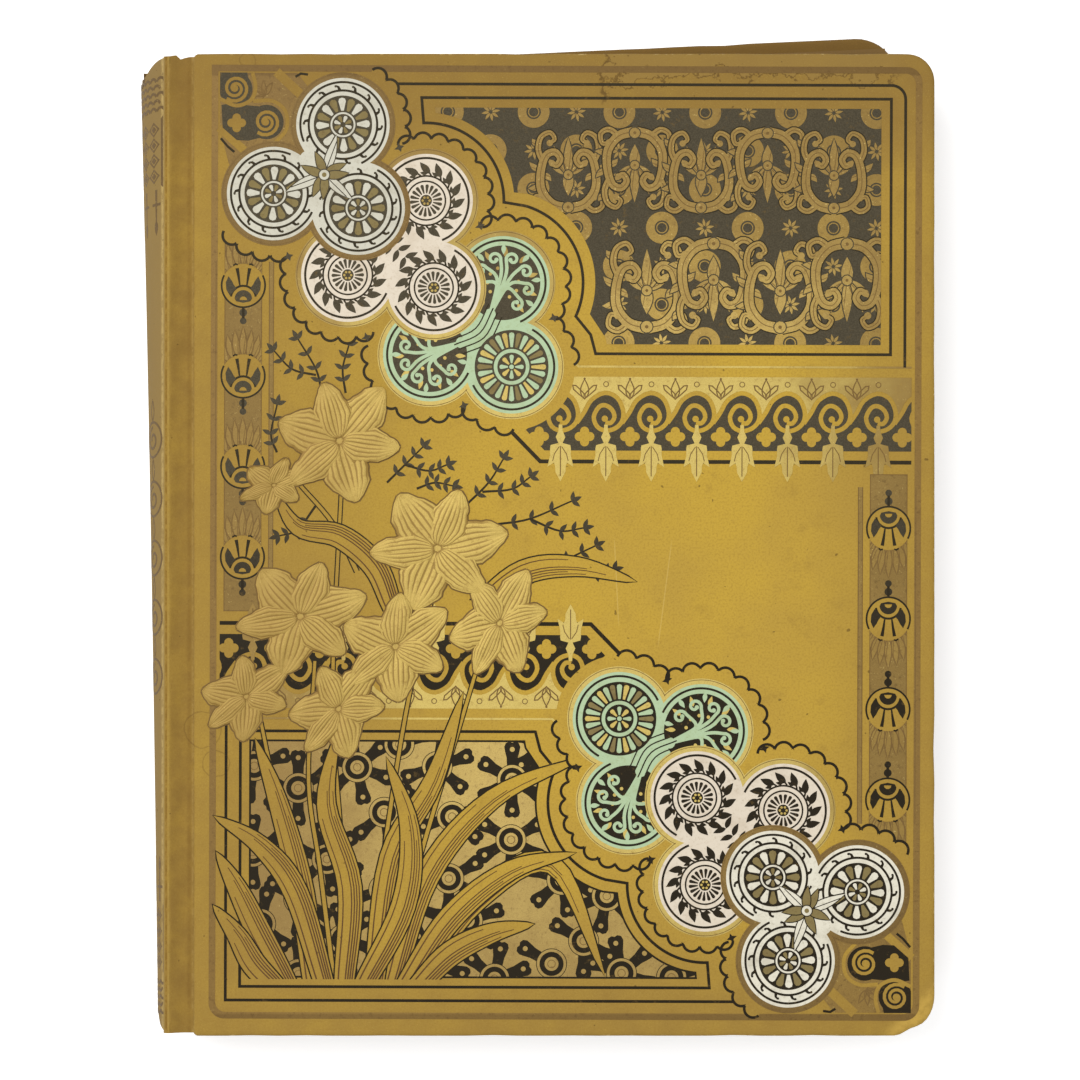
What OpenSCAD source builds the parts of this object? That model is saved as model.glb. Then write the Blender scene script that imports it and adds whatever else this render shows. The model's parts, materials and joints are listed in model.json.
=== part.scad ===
// Cloth-bound scrapbook, lying closed on its rear cover.
// X runs from the spine to the fore-edge, Y to the head, Z up; the origin is under the rear cover.

/* [Covers] */
// Height of each cover, head to tail
cover_h = 330; // [200:1:400]
// Width of each cover, joint to fore-edge
cover_w = 249; // [160:1:320]
// Thickness of the board inside a cover
board_t = 3; // [1.5:0.1:5]
// Radius of the front cover's worn fore-edge corners
corner_r = 9; // [1:0.5:20]
// Thickness of the covering cloth
cloth_t = 0.5; // [0.3:0.05:0.9]
// Width of the cloth turned in over the board's inner face
turn_in = 16; // [10:1:25]

/* [Endpapers] */
// Thickness of the pastedown over the turned-in cloth
paste_t = 0.25; // [0.1:0.05:0.5]
// Cloth left showing round the pastedown
paste_margin = 5; // [2:0.5:8]
// Thickness of each flyleaf
fly_t = 0.3; // [0.15:0.05:0.6]
// Clearance on each side of a flyleaf
fly_gap = 0.15; // [0.1:0.05:0.4]

/* [Joints] */
// Width of the cloth joint between board and spine ridge
joint_w = 9; // [7:0.5:14]
// Width of the flat ridge beside the spine
ridge_w = 1.6; // [0.5:0.1:3]
// Depth of the ridge below the face of the cover
ridge_drop = 1.2; // [0.6:0.1:2]
// Depth of the groove below the face of the cover
groove_drop = 3.2; // [2.2:0.1:3.4]
// Slot left at the fold, where the cloth bends
fold_gap = 0.3; // [0.2:0.05:0.6]

/* [Leaves] */
// Leaves in each section
leaves_per_section = 4; // [2:1:5]
// Thickness of a leaf
leaf_t = 0.4; // [0.2:0.05:0.6]
// Thickness of a guard, the stub that each leaf hangs from
guard_t = 0.85; // [0.7:0.05:1.4]
// Clearance between one guard and the next
ply_gap = 0.05; // [0.02:0.01:0.1]
// Width of the guards
guard_w = 18; // [10:1:30]
// Gap between a leaf and its guard, where the leaf folds
leaf_gap = 0.5; // [0.3:0.1:1]
// Distance that the covers reach past the leaves
square = 4; // [2:0.5:8]

/* [Spine] */
// Swell of the rounded spine past the ridges
spine_round = 5.5; // [3:0.5:7]
// How far the spine's ends are pushed in at the middle
cap_dip = 4.5; // [0:0.5:8]
// Distance that the stiffener stops short of the cloth at each end
stiffener_short = 3; // [1:0.5:6]
// Thickness of the spine stiffener
stiffener_t = 0.7; // [0.4:0.1:1.2]
// Thickness of the paper spine lining
lining_t = 0.35; // [0.2:0.05:0.6]
// Distance that the lining stops short of the guards at each end
lining_short = 2; // [1:0.5:6]
// Thickness of the open-weave backing cloth
mull_t = 0.3; // [0.2:0.05:0.5]
// Distance that the backing cloth stops short of the guards at each end
mull_short = 12; // [5:1:25]
// Thickness of the sewing tapes
tape_t = 0.4; // [0.3:0.05:0.6]
// Width of a sewing tape
tape_w = 12; // [8:1:20]
// Distance that a stitch reaches past each side of its tape
stitch_past = 2; // [1:0.5:4]
// Radius of the sewing thread
thread_r = 0.3; // [0.2:0.05:0.4]
// Thickness of the headbands
band_t = 1.6; // [1:0.1:1.8]
// Height of the headbands past the guards
band_h = 2.2; // [1:0.1:3]

/* [Strained rear cover] */
// Turn of the rear cover against the front one, degrees
skew = 2.6; // [0:0.1:3]
// Slip of the rear cover away from the fore-edge
slip_x = -2.5; // [-3:0.1:0]
// Slip of the rear cover towards the head
slip_y = 4.3; // [0:0.1:5]
// Radius of the rear cover's corners, which are more worn
rear_corner_r = 14; // [1:0.5:20]

/* [Hidden] */
$fn = 64;
section_count = 8;
tape_places = [0.14, 0.38, 0.62, 0.86];
cover_t = 2 * cloth_t + board_t + paste_t;
section_h = leaves_per_section * (guard_t + ply_gap);
block_h = section_count * section_h;
endpaper_h = fly_t + 2 * fly_gap;
book_t = 2 * (cover_t + endpaper_h) + block_h;
block_top = book_t - cover_t - endpaper_h;

// The folds run beside the spine ridges, which the front and rear joints share
fold_x = -cover_w / 2 - joint_w;
front_fold_z = book_t - ridge_drop;
rear_fold_z = ridge_drop;
leaf_end_x = cover_w / 2 - square;
leaf_half_h = cover_h / 2 - square;

// Layers of the spine, each as its depth under the cloth's outer face
layer_gap = 0.1;
stiffener_at = cloth_t + layer_gap;
lining_at = stiffener_at + stiffener_t + layer_gap;
mull_at = lining_at + lining_t + layer_gap;
thread_at = mull_at + mull_t + layer_gap;
tape_at = thread_at + 2 * thread_r + layer_gap;
block_at = tape_at + tape_t + 2 * layer_gap;
spine_start = (cloth_t + fold_gap) / (front_fold_z - rear_fold_z);
lining_start = 0.11;
arc_steps = 16;
longest_step = 36;

cloth_colour = [0.72, 0.58, 0.26];
board_colour = [0.62, 0.56, 0.46];
endpaper_colour = [0.86, 0.82, 0.72];
leaf_colour = [0.87, 0.83, 0.73];
guard_colour = [0.80, 0.75, 0.64];
thread_colour = [0.85, 0.80, 0.70];
band_colour = [0.55, 0.25, 0.18];

SECTIONS = [for (k = [1:section_count]) k];

// Frames in which the two covers and the leaves between them are drawn
module front_place() {
    translate([0, 0, book_t]) mirror([0, 0, 1]) children();
}

module rear_place() {
    skewed(1) children();
}

module skewed(share) {
    translate([slip_x * share, slip_y * share, 0]) rotate([0, 0, skew * share]) children();
}

// How far down the spine a height lies, 0 at the front fold and 1 at the rear one
function share_at(z) = (front_fold_z - z) / (front_fold_z - rear_fold_z);

// A cover's outline, drawn in by a margin, with round corners at the fore-edge
module cover_outline(worn_r, margin = 0) {
    r = max(worn_r - margin, cloth_t);
    half_w = cover_w / 2 - margin;
    half_h = cover_h / 2 - margin;
    translate([-half_w, -half_h]) square([2 * half_w - r, 2 * half_h]);
    translate([0, r - half_h]) square([half_w, 2 * (half_h - r)]);
    for (side = [-1, 1]) translate([half_w - r, side * (half_h - r)]) circle(r);
}

// The same, but reaching all the way to the joint
module open_outline(worn_r, margin, reach) {
    cover_outline(worn_r, margin);
    translate([-cover_w / 2 + reach, margin - cover_h / 2]) {
        square([cover_w / 2, cover_h - 2 * margin]);
    }
}

// Pieces of one cover, lying with its outer face on z = 0
module board(worn_r) {
    translate([0, 0, cloth_t]) linear_extrude(board_t) cover_outline(worn_r, cloth_t);
}

module cover_cloth(worn_r) {
    difference() {
        linear_extrude(board_t + 2 * cloth_t) cover_outline(worn_r);
        board(worn_r);
        translate([0, 0, cloth_t + board_t / 2]) {
            linear_extrude(cover_t) open_outline(worn_r, turn_in, cloth_t);
        }
    }
    joint_cloth();
}

// Depth of the joint below the cover's face, at a distance from the fold
function joint_depth(x) =
    let (u = max(0, min(1, (x - ridge_w) / (joint_w / 2 - ridge_w))))
    ridge_drop + (groove_drop - ridge_drop) * u * u * (3 - 2 * u);

module joint_cloth() {
    steps = 18;
    start = fold_gap / 2;
    run = [for (i = [0:steps]) start + (joint_w + cloth_t / 2 - start) * i / steps];
    under = [for (x = run) [x, joint_depth(x)]];
    over = [for (i = [steps:-1:0]) [run[i], joint_depth(run[i]) + cloth_t]];
    translate([fold_x, cover_h / 2, 0]) rotate([90, 0, 0]) {
        linear_extrude(cover_h) polygon(concat(under, over));
    }
}

module pastedown(worn_r) {
    inset = turn_in + fold_gap / 2;
    base_z = cloth_t + board_t;
    translate([0, 0, base_z]) linear_extrude(cloth_t) {
        open_outline(worn_r, inset, cloth_t + fold_gap / 2);
    }
    translate([0, 0, base_z + cloth_t]) linear_extrude(paste_t) {
        open_outline(worn_r, paste_margin, cloth_t + fold_gap / 2);
    }
}

module flyleaf() {
    start_x = fold_x + ridge_w;
    translate([start_x, -leaf_half_h, cover_t + fly_gap]) {
        cube([leaf_end_x - start_x, 2 * leaf_half_h, fly_t]);
    }
}

// The leaves and their guards
function guard_z(k, i) =
    block_top - (k - 1) * section_h - (i + 1) * (guard_t + ply_gap) + ply_gap / 2;

// The end of a guard, set back so that its corners stay inside the rounded spine
function guard_x(z) =
    fold_x + max(spine_depth(share_at(z)), spine_depth(share_at(z + guard_t)));

module section_guards(k) {
    color(guard_colour) for (i = [0:leaves_per_section - 1]) {
        z = guard_z(k, i);
        skewed(share_at(z + guard_t / 2)) translate([guard_x(z), -leaf_half_h, z]) {
            cube([fold_x + ridge_w + guard_w - guard_x(z), 2 * leaf_half_h, guard_t]);
        }
    }
}

module section_leaves(k) {
    start_x = fold_x + ridge_w + guard_w + leaf_gap;
    color(leaf_colour) for (i = [0:leaves_per_section - 1]) {
        z = guard_z(k, i) + (guard_t - leaf_t) / 2;
        skewed(share_at(z + leaf_t / 2)) translate([start_x, -leaf_half_h, z]) {
            cube([leaf_end_x - start_x, 2 * leaf_half_h, leaf_t]);
        }
    }
}

// The rounded spine, ruled from the front fold to the skewed rear one
function spine_swell(t) = 4 * spine_round * t * (1 - t);

// Distance to the right of the fold at which the leaves' block begins
function spine_depth(t) = block_at * spine_lean(t) - spine_swell(t);

// Grows a depth measured square to the spine into one measured along X
function spine_lean(t) =
    let (slope = 4 * spine_round * (1 - 2 * t) / (front_fold_z - rear_fold_z))
    sqrt(1 + slope * slope);

function turned(p) = [
    p[0] * cos(skew) - p[1] * sin(skew) + slip_x,
    p[0] * sin(skew) + p[1] * cos(skew) + slip_y
];

// A point of the spine: t runs round it, y along it, depth inward from its face
function spine_point(t, y, depth) =
    let (
        front = [fold_x, y],
        rear = turned(front),
        at = front + (rear - front) * t,
        z = front_fold_z + (rear_fold_z - front_fold_z) * t
    )
    [at[0] - spine_swell(t) + depth * spine_lean(t), at[1], z];

// A closed sheet bent round the spine, between two depths and two heights
module spine_sheet(depth, thick, t0, t1, y0, y1, dip = 0) {
    length_steps = ceil((y1 - y0) / longest_step);
    row = arc_steps + 1;
    half = row * (length_steps + 1);
    function end_dip(t, v) = dip * 4 * t * (1 - t) * (1 - 2 * v);
    function grid(d) = [
        for (j = [0:length_steps], i = [0:arc_steps])
            let (t = t0 + (t1 - t0) * i / arc_steps, v = j / length_steps)
            spine_point(t, y0 + (y1 - y0) * v + end_dip(t, v), d)
    ];
    function skin(base, flip) = [
        for (j = [0:length_steps - 1], i = [0:arc_steps - 1])
            let (a = base + j * row + i, b = a + 1, c = b + row, d = a + row)
            each (flip ? [[a, c, b], [a, d, c]] : [[a, b, c], [a, c, d]])
    ];
    function wall(a, b) = [[a, a + half, b + half], [a, b + half, b]];
    last = length_steps * row;
    ends = [for (i = [0:arc_steps - 1]) each concat(wall(i, i + 1), wall(last + i + 1, last + i))];
    sides = [
        for (j = [0:length_steps - 1])
            each concat(wall((j + 1) * row, j * row), wall(j * row + row - 1, (j + 2) * row - 1))
    ];
    points = concat(grid(depth), grid(depth + thick));
    polyhedron(points, concat(skin(0, false), skin(half, true), ends, sides));
}

module spine_cloth() {
    color(cloth_colour) {
        spine_sheet(0, cloth_t, spine_start, 1 - spine_start, -cover_h / 2, cover_h / 2, cap_dip);
    }
}

module spine_stiffener() {
    half = cover_h / 2 - stiffener_short;
    color(board_colour) spine_sheet(stiffener_at, stiffener_t, 0.06, 0.94, -half, half, cap_dip);
}

module spine_lining() {
    half = leaf_half_h - lining_short;
    color(endpaper_colour) {
        spine_sheet(lining_at, lining_t, lining_start, 1 - lining_start, -half, half);
    }
}

module backing_cloth() {
    half = leaf_half_h - mull_short;
    color(thread_colour) spine_sheet(mull_at, mull_t, lining_start, 1 - lining_start, -half, half);
}

// A headband sits on the end of the guards, tucked under the spine
module end_band(side) {
    y0 = side > 0 ? leaf_half_h + ply_gap : -leaf_half_h - ply_gap - band_h;
    color(band_colour) {
        spine_sheet(block_at, band_t, lining_start, 1 - lining_start, y0, y0 + band_h);
    }
}

module head_band() {
    end_band(1);
}

module tail_band() {
    end_band(-1);
}

function tape_y(place) = (2 * place - 1) * leaf_half_h;

module sewing_tapes() {
    color(thread_colour) for (place = tape_places) {
        y = tape_y(place);
        spine_sheet(tape_at, tape_t, lining_start, 1 - lining_start, y - tape_w / 2, y + tape_w / 2);
    }
}

// One stitch of thread crosses each tape at each section
module sewing_thread() {
    stitch = tape_w + 2 * stitch_past;
    color(thread_colour) for (k = SECTIONS, place = tape_places) {
        t = share_at(block_top - (k - 0.5) * section_h);
        translate(spine_point(t, tape_y(place), thread_at + thread_r)) {
            rotate([90, 0, skew * t]) cylinder(stitch, r = thread_r, center = true);
        }
    }
}

// The two covers
module front_board() {
    color(board_colour) front_place() board(corner_r);
}

module front_cover_cloth() {
    color(cloth_colour) front_place() cover_cloth(corner_r);
}

module front_pastedown() {
    color(endpaper_colour) front_place() pastedown(corner_r);
}

module front_flyleaf() {
    color(endpaper_colour) front_place() flyleaf();
}

module rear_board() {
    color(board_colour) rear_place() board(rear_corner_r);
}

module rear_cover_cloth() {
    color(cloth_colour) rear_place() cover_cloth(rear_corner_r);
}

module rear_pastedown() {
    color(endpaper_colour) rear_place() pastedown(rear_corner_r);
}

module rear_flyleaf() {
    color(endpaper_colour) rear_place() flyleaf();
}

front_board();
front_cover_cloth();
front_pastedown();
front_flyleaf();
rear_board();
rear_cover_cloth();
rear_pastedown();
rear_flyleaf();
spine_cloth();
spine_stiffener();
spine_lining();
backing_cloth();
head_band();
tail_band();
sewing_tapes();
sewing_thread();
for (k = SECTIONS) {
    section_guards(k);
    section_leaves(k);
}
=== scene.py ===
"""Scrapbook: the looks of the cloth-bound book in the photograph, on the shared frame."""
import json
import math

import bpy
import numpy as np
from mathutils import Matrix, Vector
from mathutils.geometry import delaunay_2d_cdt


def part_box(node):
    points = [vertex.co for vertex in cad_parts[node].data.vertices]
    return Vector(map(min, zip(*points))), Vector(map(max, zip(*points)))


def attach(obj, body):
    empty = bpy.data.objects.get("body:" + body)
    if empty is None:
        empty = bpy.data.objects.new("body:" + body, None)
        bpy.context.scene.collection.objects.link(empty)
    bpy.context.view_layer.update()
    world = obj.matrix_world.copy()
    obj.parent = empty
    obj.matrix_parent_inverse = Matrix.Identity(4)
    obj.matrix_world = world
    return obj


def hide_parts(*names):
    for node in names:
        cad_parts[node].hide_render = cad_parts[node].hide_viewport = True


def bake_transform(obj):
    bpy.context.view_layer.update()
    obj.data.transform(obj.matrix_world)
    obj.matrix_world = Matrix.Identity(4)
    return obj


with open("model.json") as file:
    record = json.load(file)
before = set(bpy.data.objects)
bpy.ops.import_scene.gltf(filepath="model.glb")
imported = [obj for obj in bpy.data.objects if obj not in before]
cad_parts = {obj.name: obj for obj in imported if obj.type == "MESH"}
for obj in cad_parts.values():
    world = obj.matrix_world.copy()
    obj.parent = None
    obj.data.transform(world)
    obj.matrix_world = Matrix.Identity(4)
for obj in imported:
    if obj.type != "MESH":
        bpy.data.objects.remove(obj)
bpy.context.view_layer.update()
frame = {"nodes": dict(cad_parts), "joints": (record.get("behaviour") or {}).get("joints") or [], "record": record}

# Sizes of the bound book, in millimetres
MM = 0.001
hinges = {joint["name"]: joint for joint in frame["joints"]}
front_fold = [value / MM for value in hinges["front_cover_hinge"]["pos_m"]]
rear_fold = [value / MM for value in hinges["rear_cover_hinge"]["pos_m"]]
rear_axis = hinges["rear_cover_hinge"]["axis"]
skew = math.atan2(-rear_axis[0], rear_axis[1])
slip = (-2.5, 4.3)
face_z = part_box("front_cover_cloth")[1].z / MM
board_left, board_right, board_half_h = -124.5, 124.5, 165.0
leaf_start_x, leaf_end_x, leaf_half_h = -131.9, 120.5, 161.0
# Spans in x beside the fold, for the joint cloth and for the papers
joint_bend, leaf_bend = (-133.9, -131.5), (-130.5, -117.0)


def share_at(z):
    """How far a height lies from the front fold towards the rear one, from 0 to 1."""
    return (front_fold[2] - z) / (front_fold[2] - rear_fold[2])


def skewed(x, y, share):
    """A point of the straight book, moved as far as the slanting block has moved there."""
    turn = skew * share
    return (x * math.cos(turn) - y * math.sin(turn) + slip[0] * share,
            x * math.sin(turn) + y * math.cos(turn) + slip[1] * share)


def metres(spot, z):
    return Vector((*spot, z)) * MM


def smooth(low, high, value):
    """0 below low, 1 above high, and an even passage between them."""
    t = min(max((value - low) / (high - low), 0), 1)
    return t * t * (3 - 2 * t)


def off(at, r, angle):
    """The point at a distance and an angle in degrees from another."""
    return at[0] + r * math.cos(math.radians(angle)), at[1] + r * math.sin(math.radians(angle))


def heading(start, end):
    """The angle in degrees from one point to another."""
    return math.degrees(math.atan2(end[1] - start[1], end[0] - start[0]))


# Materials: colours are screen values from 0 to 255, and places are in metres
def linear(colour):
    """A screen colour as the renderer wants it."""
    return [(c / 255 / 12.92 if c <= 10 else ((c / 255 + 0.055) / 1.055) ** 2.4) for c in colour] + [1]


class Look:
    """The node tree of one material, with short ways to add the usual nodes."""

    def __init__(self, name, own=True, rough=0.8, metal=0.0, shine=0.3):
        self.material = bpy.data.materials.new(name)
        self.material.use_nodes = True
        self.tree = self.material.node_tree
        self.tree.nodes.clear()
        self.shader = self.add("ShaderNodeBsdfPrincipled")
        self.tree.links.new(self.shader.outputs[0], self.add("ShaderNodeOutputMaterial").inputs[0])
        self.set("Roughness", rough)
        self.set("Metallic", metal)
        self.set("Specular IOR Level", shine)
        if own:
            self.place = self.attribute("place", "Vector")
        else:
            self.place = self.add("ShaderNodeTexCoord").outputs["Object"]

    def add(self, kind, **values):
        node = self.tree.nodes.new(kind)
        for key, value in values.items():
            setattr(node, key, value)
        return node

    def put(self, value, socket):
        """Feeds a socket from another node, or sets it."""
        if isinstance(value, bpy.types.NodeSocket):
            self.tree.links.new(value, socket)
        else:
            socket.default_value = value

    def set(self, name, value):
        self.put(value, self.shader.inputs[name])

    def attribute(self, name, output):
        return self.add("ShaderNodeAttribute", attribute_name=name).outputs[output]

    def noise(self, size, detail=3, rough=0.55):
        """Noise whose blotches are about size millimetres across."""
        node = self.add("ShaderNodeTexNoise")
        self.put(self.place, node.inputs["Vector"])
        node.inputs["Scale"].default_value = 1 / (size * MM)
        node.inputs["Detail"].default_value = detail
        node.inputs["Roughness"].default_value = rough
        return node.outputs["Fac"]

    def sums(self, operation, *values):
        """One step of arithmetic."""
        node = self.add("ShaderNodeMath", operation=operation)
        for value, socket in zip(values, node.inputs):
            self.put(value, socket)
        return node.outputs[0]

    def times(self, first, *others):
        """The product of all the values."""
        for other in others:
            first = self.sums("MULTIPLY", first, other)
        return first

    def span(self, value, low, high, to_low=0.0, to_high=1.0):
        """Maps low..high smoothly to to_low..to_high, clamped."""
        node = self.add("ShaderNodeMapRange", interpolation_type="SMOOTHSTEP")
        for number, socket in zip((value, low, high, to_low, to_high), node.inputs):
            self.put(number, socket)
        return node.outputs[0]

    def line(self, axis, at, reach):
        """1 on a line across that axis, fading to 0 at reach on both sides."""
        return self.span(self.sums("ABSOLUTE", self.sums("SUBTRACT", axis, at)), 0.0, reach, 1.0, 0.0)

    def mix(self, share, first, second):
        node = self.add("ShaderNodeMix", data_type="RGBA")
        for value, number in ((share, 0), (first, 6), (second, 7)):
            self.put(value, node.inputs[number])
        return node.outputs[2]

    def base(self, share, first, second):
        """Starts the colour as a mixture of two."""
        self.colour = self.mix(share, linear(first), linear(second))

    def tint(self, share, colour):
        """Lays another colour over the colour so far."""
        self.colour = self.mix(share, self.colour, linear(colour))

    def axes(self):
        """The x, y and z of the place."""
        node = self.add("ShaderNodeSeparateXYZ")
        self.put(self.place, node.inputs[0])
        return node.outputs

    def done(self, height, depth, strength):
        """The finished material, with relief of the given depth in millimetres."""
        self.set("Base Color", self.colour)
        node = self.add("ShaderNodeBump")
        node.inputs["Strength"].default_value = strength
        node.inputs["Distance"].default_value = depth * MM
        self.put(height, node.inputs["Height"])
        self.set("Normal", node.outputs[0])
        return self.material


# Water stain on the front cover: its left and lower edge, and where it ends at the right
stain_left, stain_low, stain_end = 0.0128, 0.1570, (0.116, 0.108)
# x, y and radius of the rings that small cups left
cup_rings = ((-0.1215, -0.062, 0.0062), (-0.1168, -0.0735, 0.0045), (-0.1060, 0.1625, 0.0026))
# x, slant, lower and upper end of the pale scratches
scratches = ((0.0170, 0.05, -0.029, 0.004), (0.0360, -0.13, -0.036, 0.003))


def add_stains(look, x, y, on_top):
    """The front cover's dried water stain, cup rings and pale scratches, and dark specks all over."""
    wander = look.sums("SUBTRACT", look.noise(10, 5, 0.7), 0.5)
    low_edge = look.sums("MULTIPLY_ADD", wander, 0.034, y)
    side_edge = look.sums("MULTIPLY_ADD", wander, 0.016, x)
    ended = look.times(look.span(x, *stain_end), on_top)
    wetted = look.times(look.span(side_edge, stain_left - 0.0003, stain_left + 0.0007), ended,
                        look.span(low_edge, stain_low - 0.0005, stain_low + 0.001), 0.4)
    look.tint(wetted, (148, 120, 66))
    low_tide = look.times(look.line(low_edge, stain_low, 0.0011), look.span(x, 0.012, 0.016), ended)
    side_tide = look.times(look.line(side_edge, stain_left, 0.0012), look.span(y, 0.147, 0.150), on_top)
    for tide in (low_tide, side_tide):
        look.tint(look.times(tide, 0.75), (92, 68, 34))
    for cx, cy, r in cup_rings:
        sides = look.sums("SUBTRACT", x, cx), look.sums("SUBTRACT", y, cy)
        squares = [look.sums("POWER", side, 2.0) for side in sides]
        away = look.sums("SQRT", look.sums("ADD", *squares))
        ring = look.line(look.sums("MULTIPLY_ADD", wander, 0.003, away), r, 0.0004)
        look.tint(look.times(ring, 0.4, on_top), (104, 78, 38))
    for at, slant, low, high in scratches:
        ends = look.times(look.span(y, low, low + 0.006), look.span(y, high, high - 0.006))
        scratch = look.line(look.sums("MULTIPLY_ADD", y, slant, x), at, 0.0003)
        look.tint(look.times(scratch, ends, 0.3, on_top), (226, 198, 122))
    look.tint(look.span(look.noise(2.3, 1), 0.77, 0.80, 0.0, 0.6), (88, 66, 32))


# Lines along the joint, rubbed, painted shade and painted highlight: x, half width, share and colour
joint_lines = ((-0.1351, 0.0009, 0.6, (204, 176, 110)), (-0.1337, 0.0006, 0.85, (122, 90, 34)),
               (-0.1329, 0.0007, 0.3, (178, 148, 84)), (-0.1262, 0.0010, 0.4, (128, 96, 44)),
               (-0.1247, 0.0010, 0.5, (188, 158, 92)))


def make_cloth():
    """Book cloth: ochre, browner at the rims, mottled, rubbed pale at the folds, with painted shade and
    highlights.
    """
    look = Look("yellow_brown_cloth", rough=0.78, shine=0.12)
    x, y, z = look.axes()
    broad, patch, grain = look.noise(42, 4), look.noise(9, 5, 0.65), look.noise(0.7, 2)
    fine, frayed = look.noise(0.32, 3, 0.7), look.noise(2.6, 3, 0.7)
    look.base(look.span(broad, 0.35, 0.68), (194, 159, 60), (184, 150, 62))
    # axis, where the browning starts, where it is full, and its share there
    browned = ((x, 0.070, 0.120, 0.66), (x, -0.005, -0.112, 0.78),
               (y, 0.080, 0.148, 0.95), (y, -0.105, -0.158, 0.8))
    rim = 0.0
    for axis, start, end, most in browned:
        rim = look.sums("MAXIMUM", rim, look.span(axis, start, end, 0.0, most))
    look.tint(look.times(rim, look.span(patch, 0.2, 0.65, 0.75, 1.0)), (150, 119, 58))
    look.tint(look.span(y, 0.120, 0.158, 0.0, 0.4), (130, 102, 52))
    look.tint(look.span(patch, 0.56, 0.76, 0.0, 0.3), (142, 110, 50))
    look.tint(look.span(grain, 0.42, 0.72, 0.0, 0.34), (146, 112, 46))
    look.tint(look.span(fine, 0.56, 0.72, 0.0, 0.3), (212, 180, 92))
    look.tint(look.span(x, -0.1336, -0.1350, 0.0, 0.75), (140, 117, 74))
    # Painted shade: the joint's groove, from the ridge to the board's edge, darker in patches.
    channel = look.times(look.span(x, -0.1328, -0.1318), look.span(x, -0.1236, -0.1246))
    look.tint(look.times(channel, look.span(patch, 0.3, 0.7, 0.2, 0.5)), (128, 98, 48))
    # The ridge rubbed pale with a darker line, then the groove's painted shade and the board edge's painted
    # highlight.
    for at, reach, most, tone in joint_lines:
        look.tint(look.times(look.line(x, at, reach), look.span(frayed, 0.36, 0.6, 0.25 * most, most)), tone)
    # Painted highlight on the bumped lower right corner.
    lower_right = look.span(look.sums("SUBTRACT", x, y), 0.2685, 0.2760)
    look.tint(look.times(lower_right, look.span(frayed, 0.3, 0.6, 0.3, 0.8)), (200, 164, 78))
    ends = look.span(look.sums("ABSOLUTE", y), 0.1643, 0.1648)
    edges = look.sums("MAXIMUM", look.span(x, 0.1238, 0.1243), ends)
    on_board = look.times(look.span(x, -0.1240, -0.1235), look.span(z, 0.030, 0.033))
    look.tint(look.times(edges, look.span(frayed, 0.55, 0.68, 0.0, 0.55), on_board), (222, 198, 138))
    # Painted shade: the cloth low down, where the rear cover lies under the front one, darker.
    look.tint(look.span(z, 0.0062, 0.0045, 0.0, 0.75), (112, 84, 42))
    add_stains(look, x, y, look.span(z, 0.020, 0.025))
    return look.done(look.sums("ADD", grain, look.times(patch, 0.6)), 0.12, 0.5)


def make_plain(name, colour, other, size, own=False):
    """A mottled matt stuff of two tones."""
    look = Look(name, own, rough=0.85)
    blot = look.noise(size, 4)
    look.base(look.span(blot, 0.3, 0.7), colour, other)
    return look.done(blot, 0.06, 0.4)


def make_page(name, colour, other, margin=0.014, own=True):
    """Paper of two tones, browned by the air along its open edges."""
    look = Look(name, own, rough=0.85)
    x, y = look.axes()[:2]
    blot = look.noise(16, 4)
    look.base(look.span(blot, 0.3, 0.7), colour, other)
    edge_x, edge_y = (leaf_end_x - 2) * MM, (leaf_half_h - 2) * MM
    along = look.span(look.sums("ABSOLUTE", y), edge_y - margin, edge_y)
    look.tint(look.sums("MAXIMUM", look.span(x, edge_x - margin, edge_x), along), (126, 98, 54))
    return look.done(blot, 0.05, 0.4)


def make_banding():
    """A headband of two silks, sewn over in turn."""
    look = Look("banding", own=False, rough=0.6)
    z = look.axes()[2]
    stitch = 0.0022
    wave = look.sums("SINE", look.times(z, 2 * math.pi / stitch))
    look.base(look.span(wave, -0.2, 0.2), (196, 176, 128), (122, 46, 34))
    return look.done(wave, 0.2, 0.6)


board_brown = ((140, 118, 86), (118, 96, 68), 3)
cloth = make_cloth()
board_stuff = make_plain("worn_millboard", *board_brown, own=True)
papers = {
    "leaves": make_page("leaf_paper", (218, 202, 166), (200, 180, 138)),
    "guards": make_page("guard_paper", (196, 176, 134), (180, 158, 114)),
}
node_stuffs = {
    "millboard": make_plain("millboard", *board_brown),
    "card": make_plain("card", (168, 146, 106), (150, 128, 90), 5),
    "endpaper": make_page("endpaper", (222, 208, 176), (206, 188, 148), 0.022, own=False),
    "lining_paper": make_plain("lining_paper", (176, 150, 106), (158, 132, 90), 8),
    "open_weave_cloth": make_plain("open_weave_cloth", (214, 202, 172), (196, 182, 148), 1.2),
    "linen_tape": make_plain("linen_tape", (208, 196, 164), (190, 176, 142), 1.0),
    "linen_thread": make_plain("linen_thread", (216, 206, 180), (196, 184, 154), 1.0),
    "banding": make_banding(),
}


# Meshes
def add_object(name, data):
    thing = bpy.data.objects.new(name, data)
    bpy.context.scene.collection.objects.link(thing)
    return thing


def add_mesh(name, points, faces, stuff):
    """A mesh from points in millimetres, with its rest place kept for the textures."""
    points = np.asarray(points, float) * MM
    mesh = bpy.data.meshes.new(name)
    mesh.from_pydata([tuple(p) for p in points], [], faces)
    place = mesh.attributes.new("place", "FLOAT_VECTOR", "POINT")
    place.data.foreach_set("vector", points.astype(np.float32).ravel())
    mesh.materials.append(stuff)
    return add_object(name, mesh)


def soften(thing, angle):
    """Smooth shading, with edges sharper than the angle kept crisp."""
    for polygon in thing.data.polygons:
        polygon.use_smooth = True
    thing.data.set_sharp_from_angle(angle=math.radians(angle))


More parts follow.
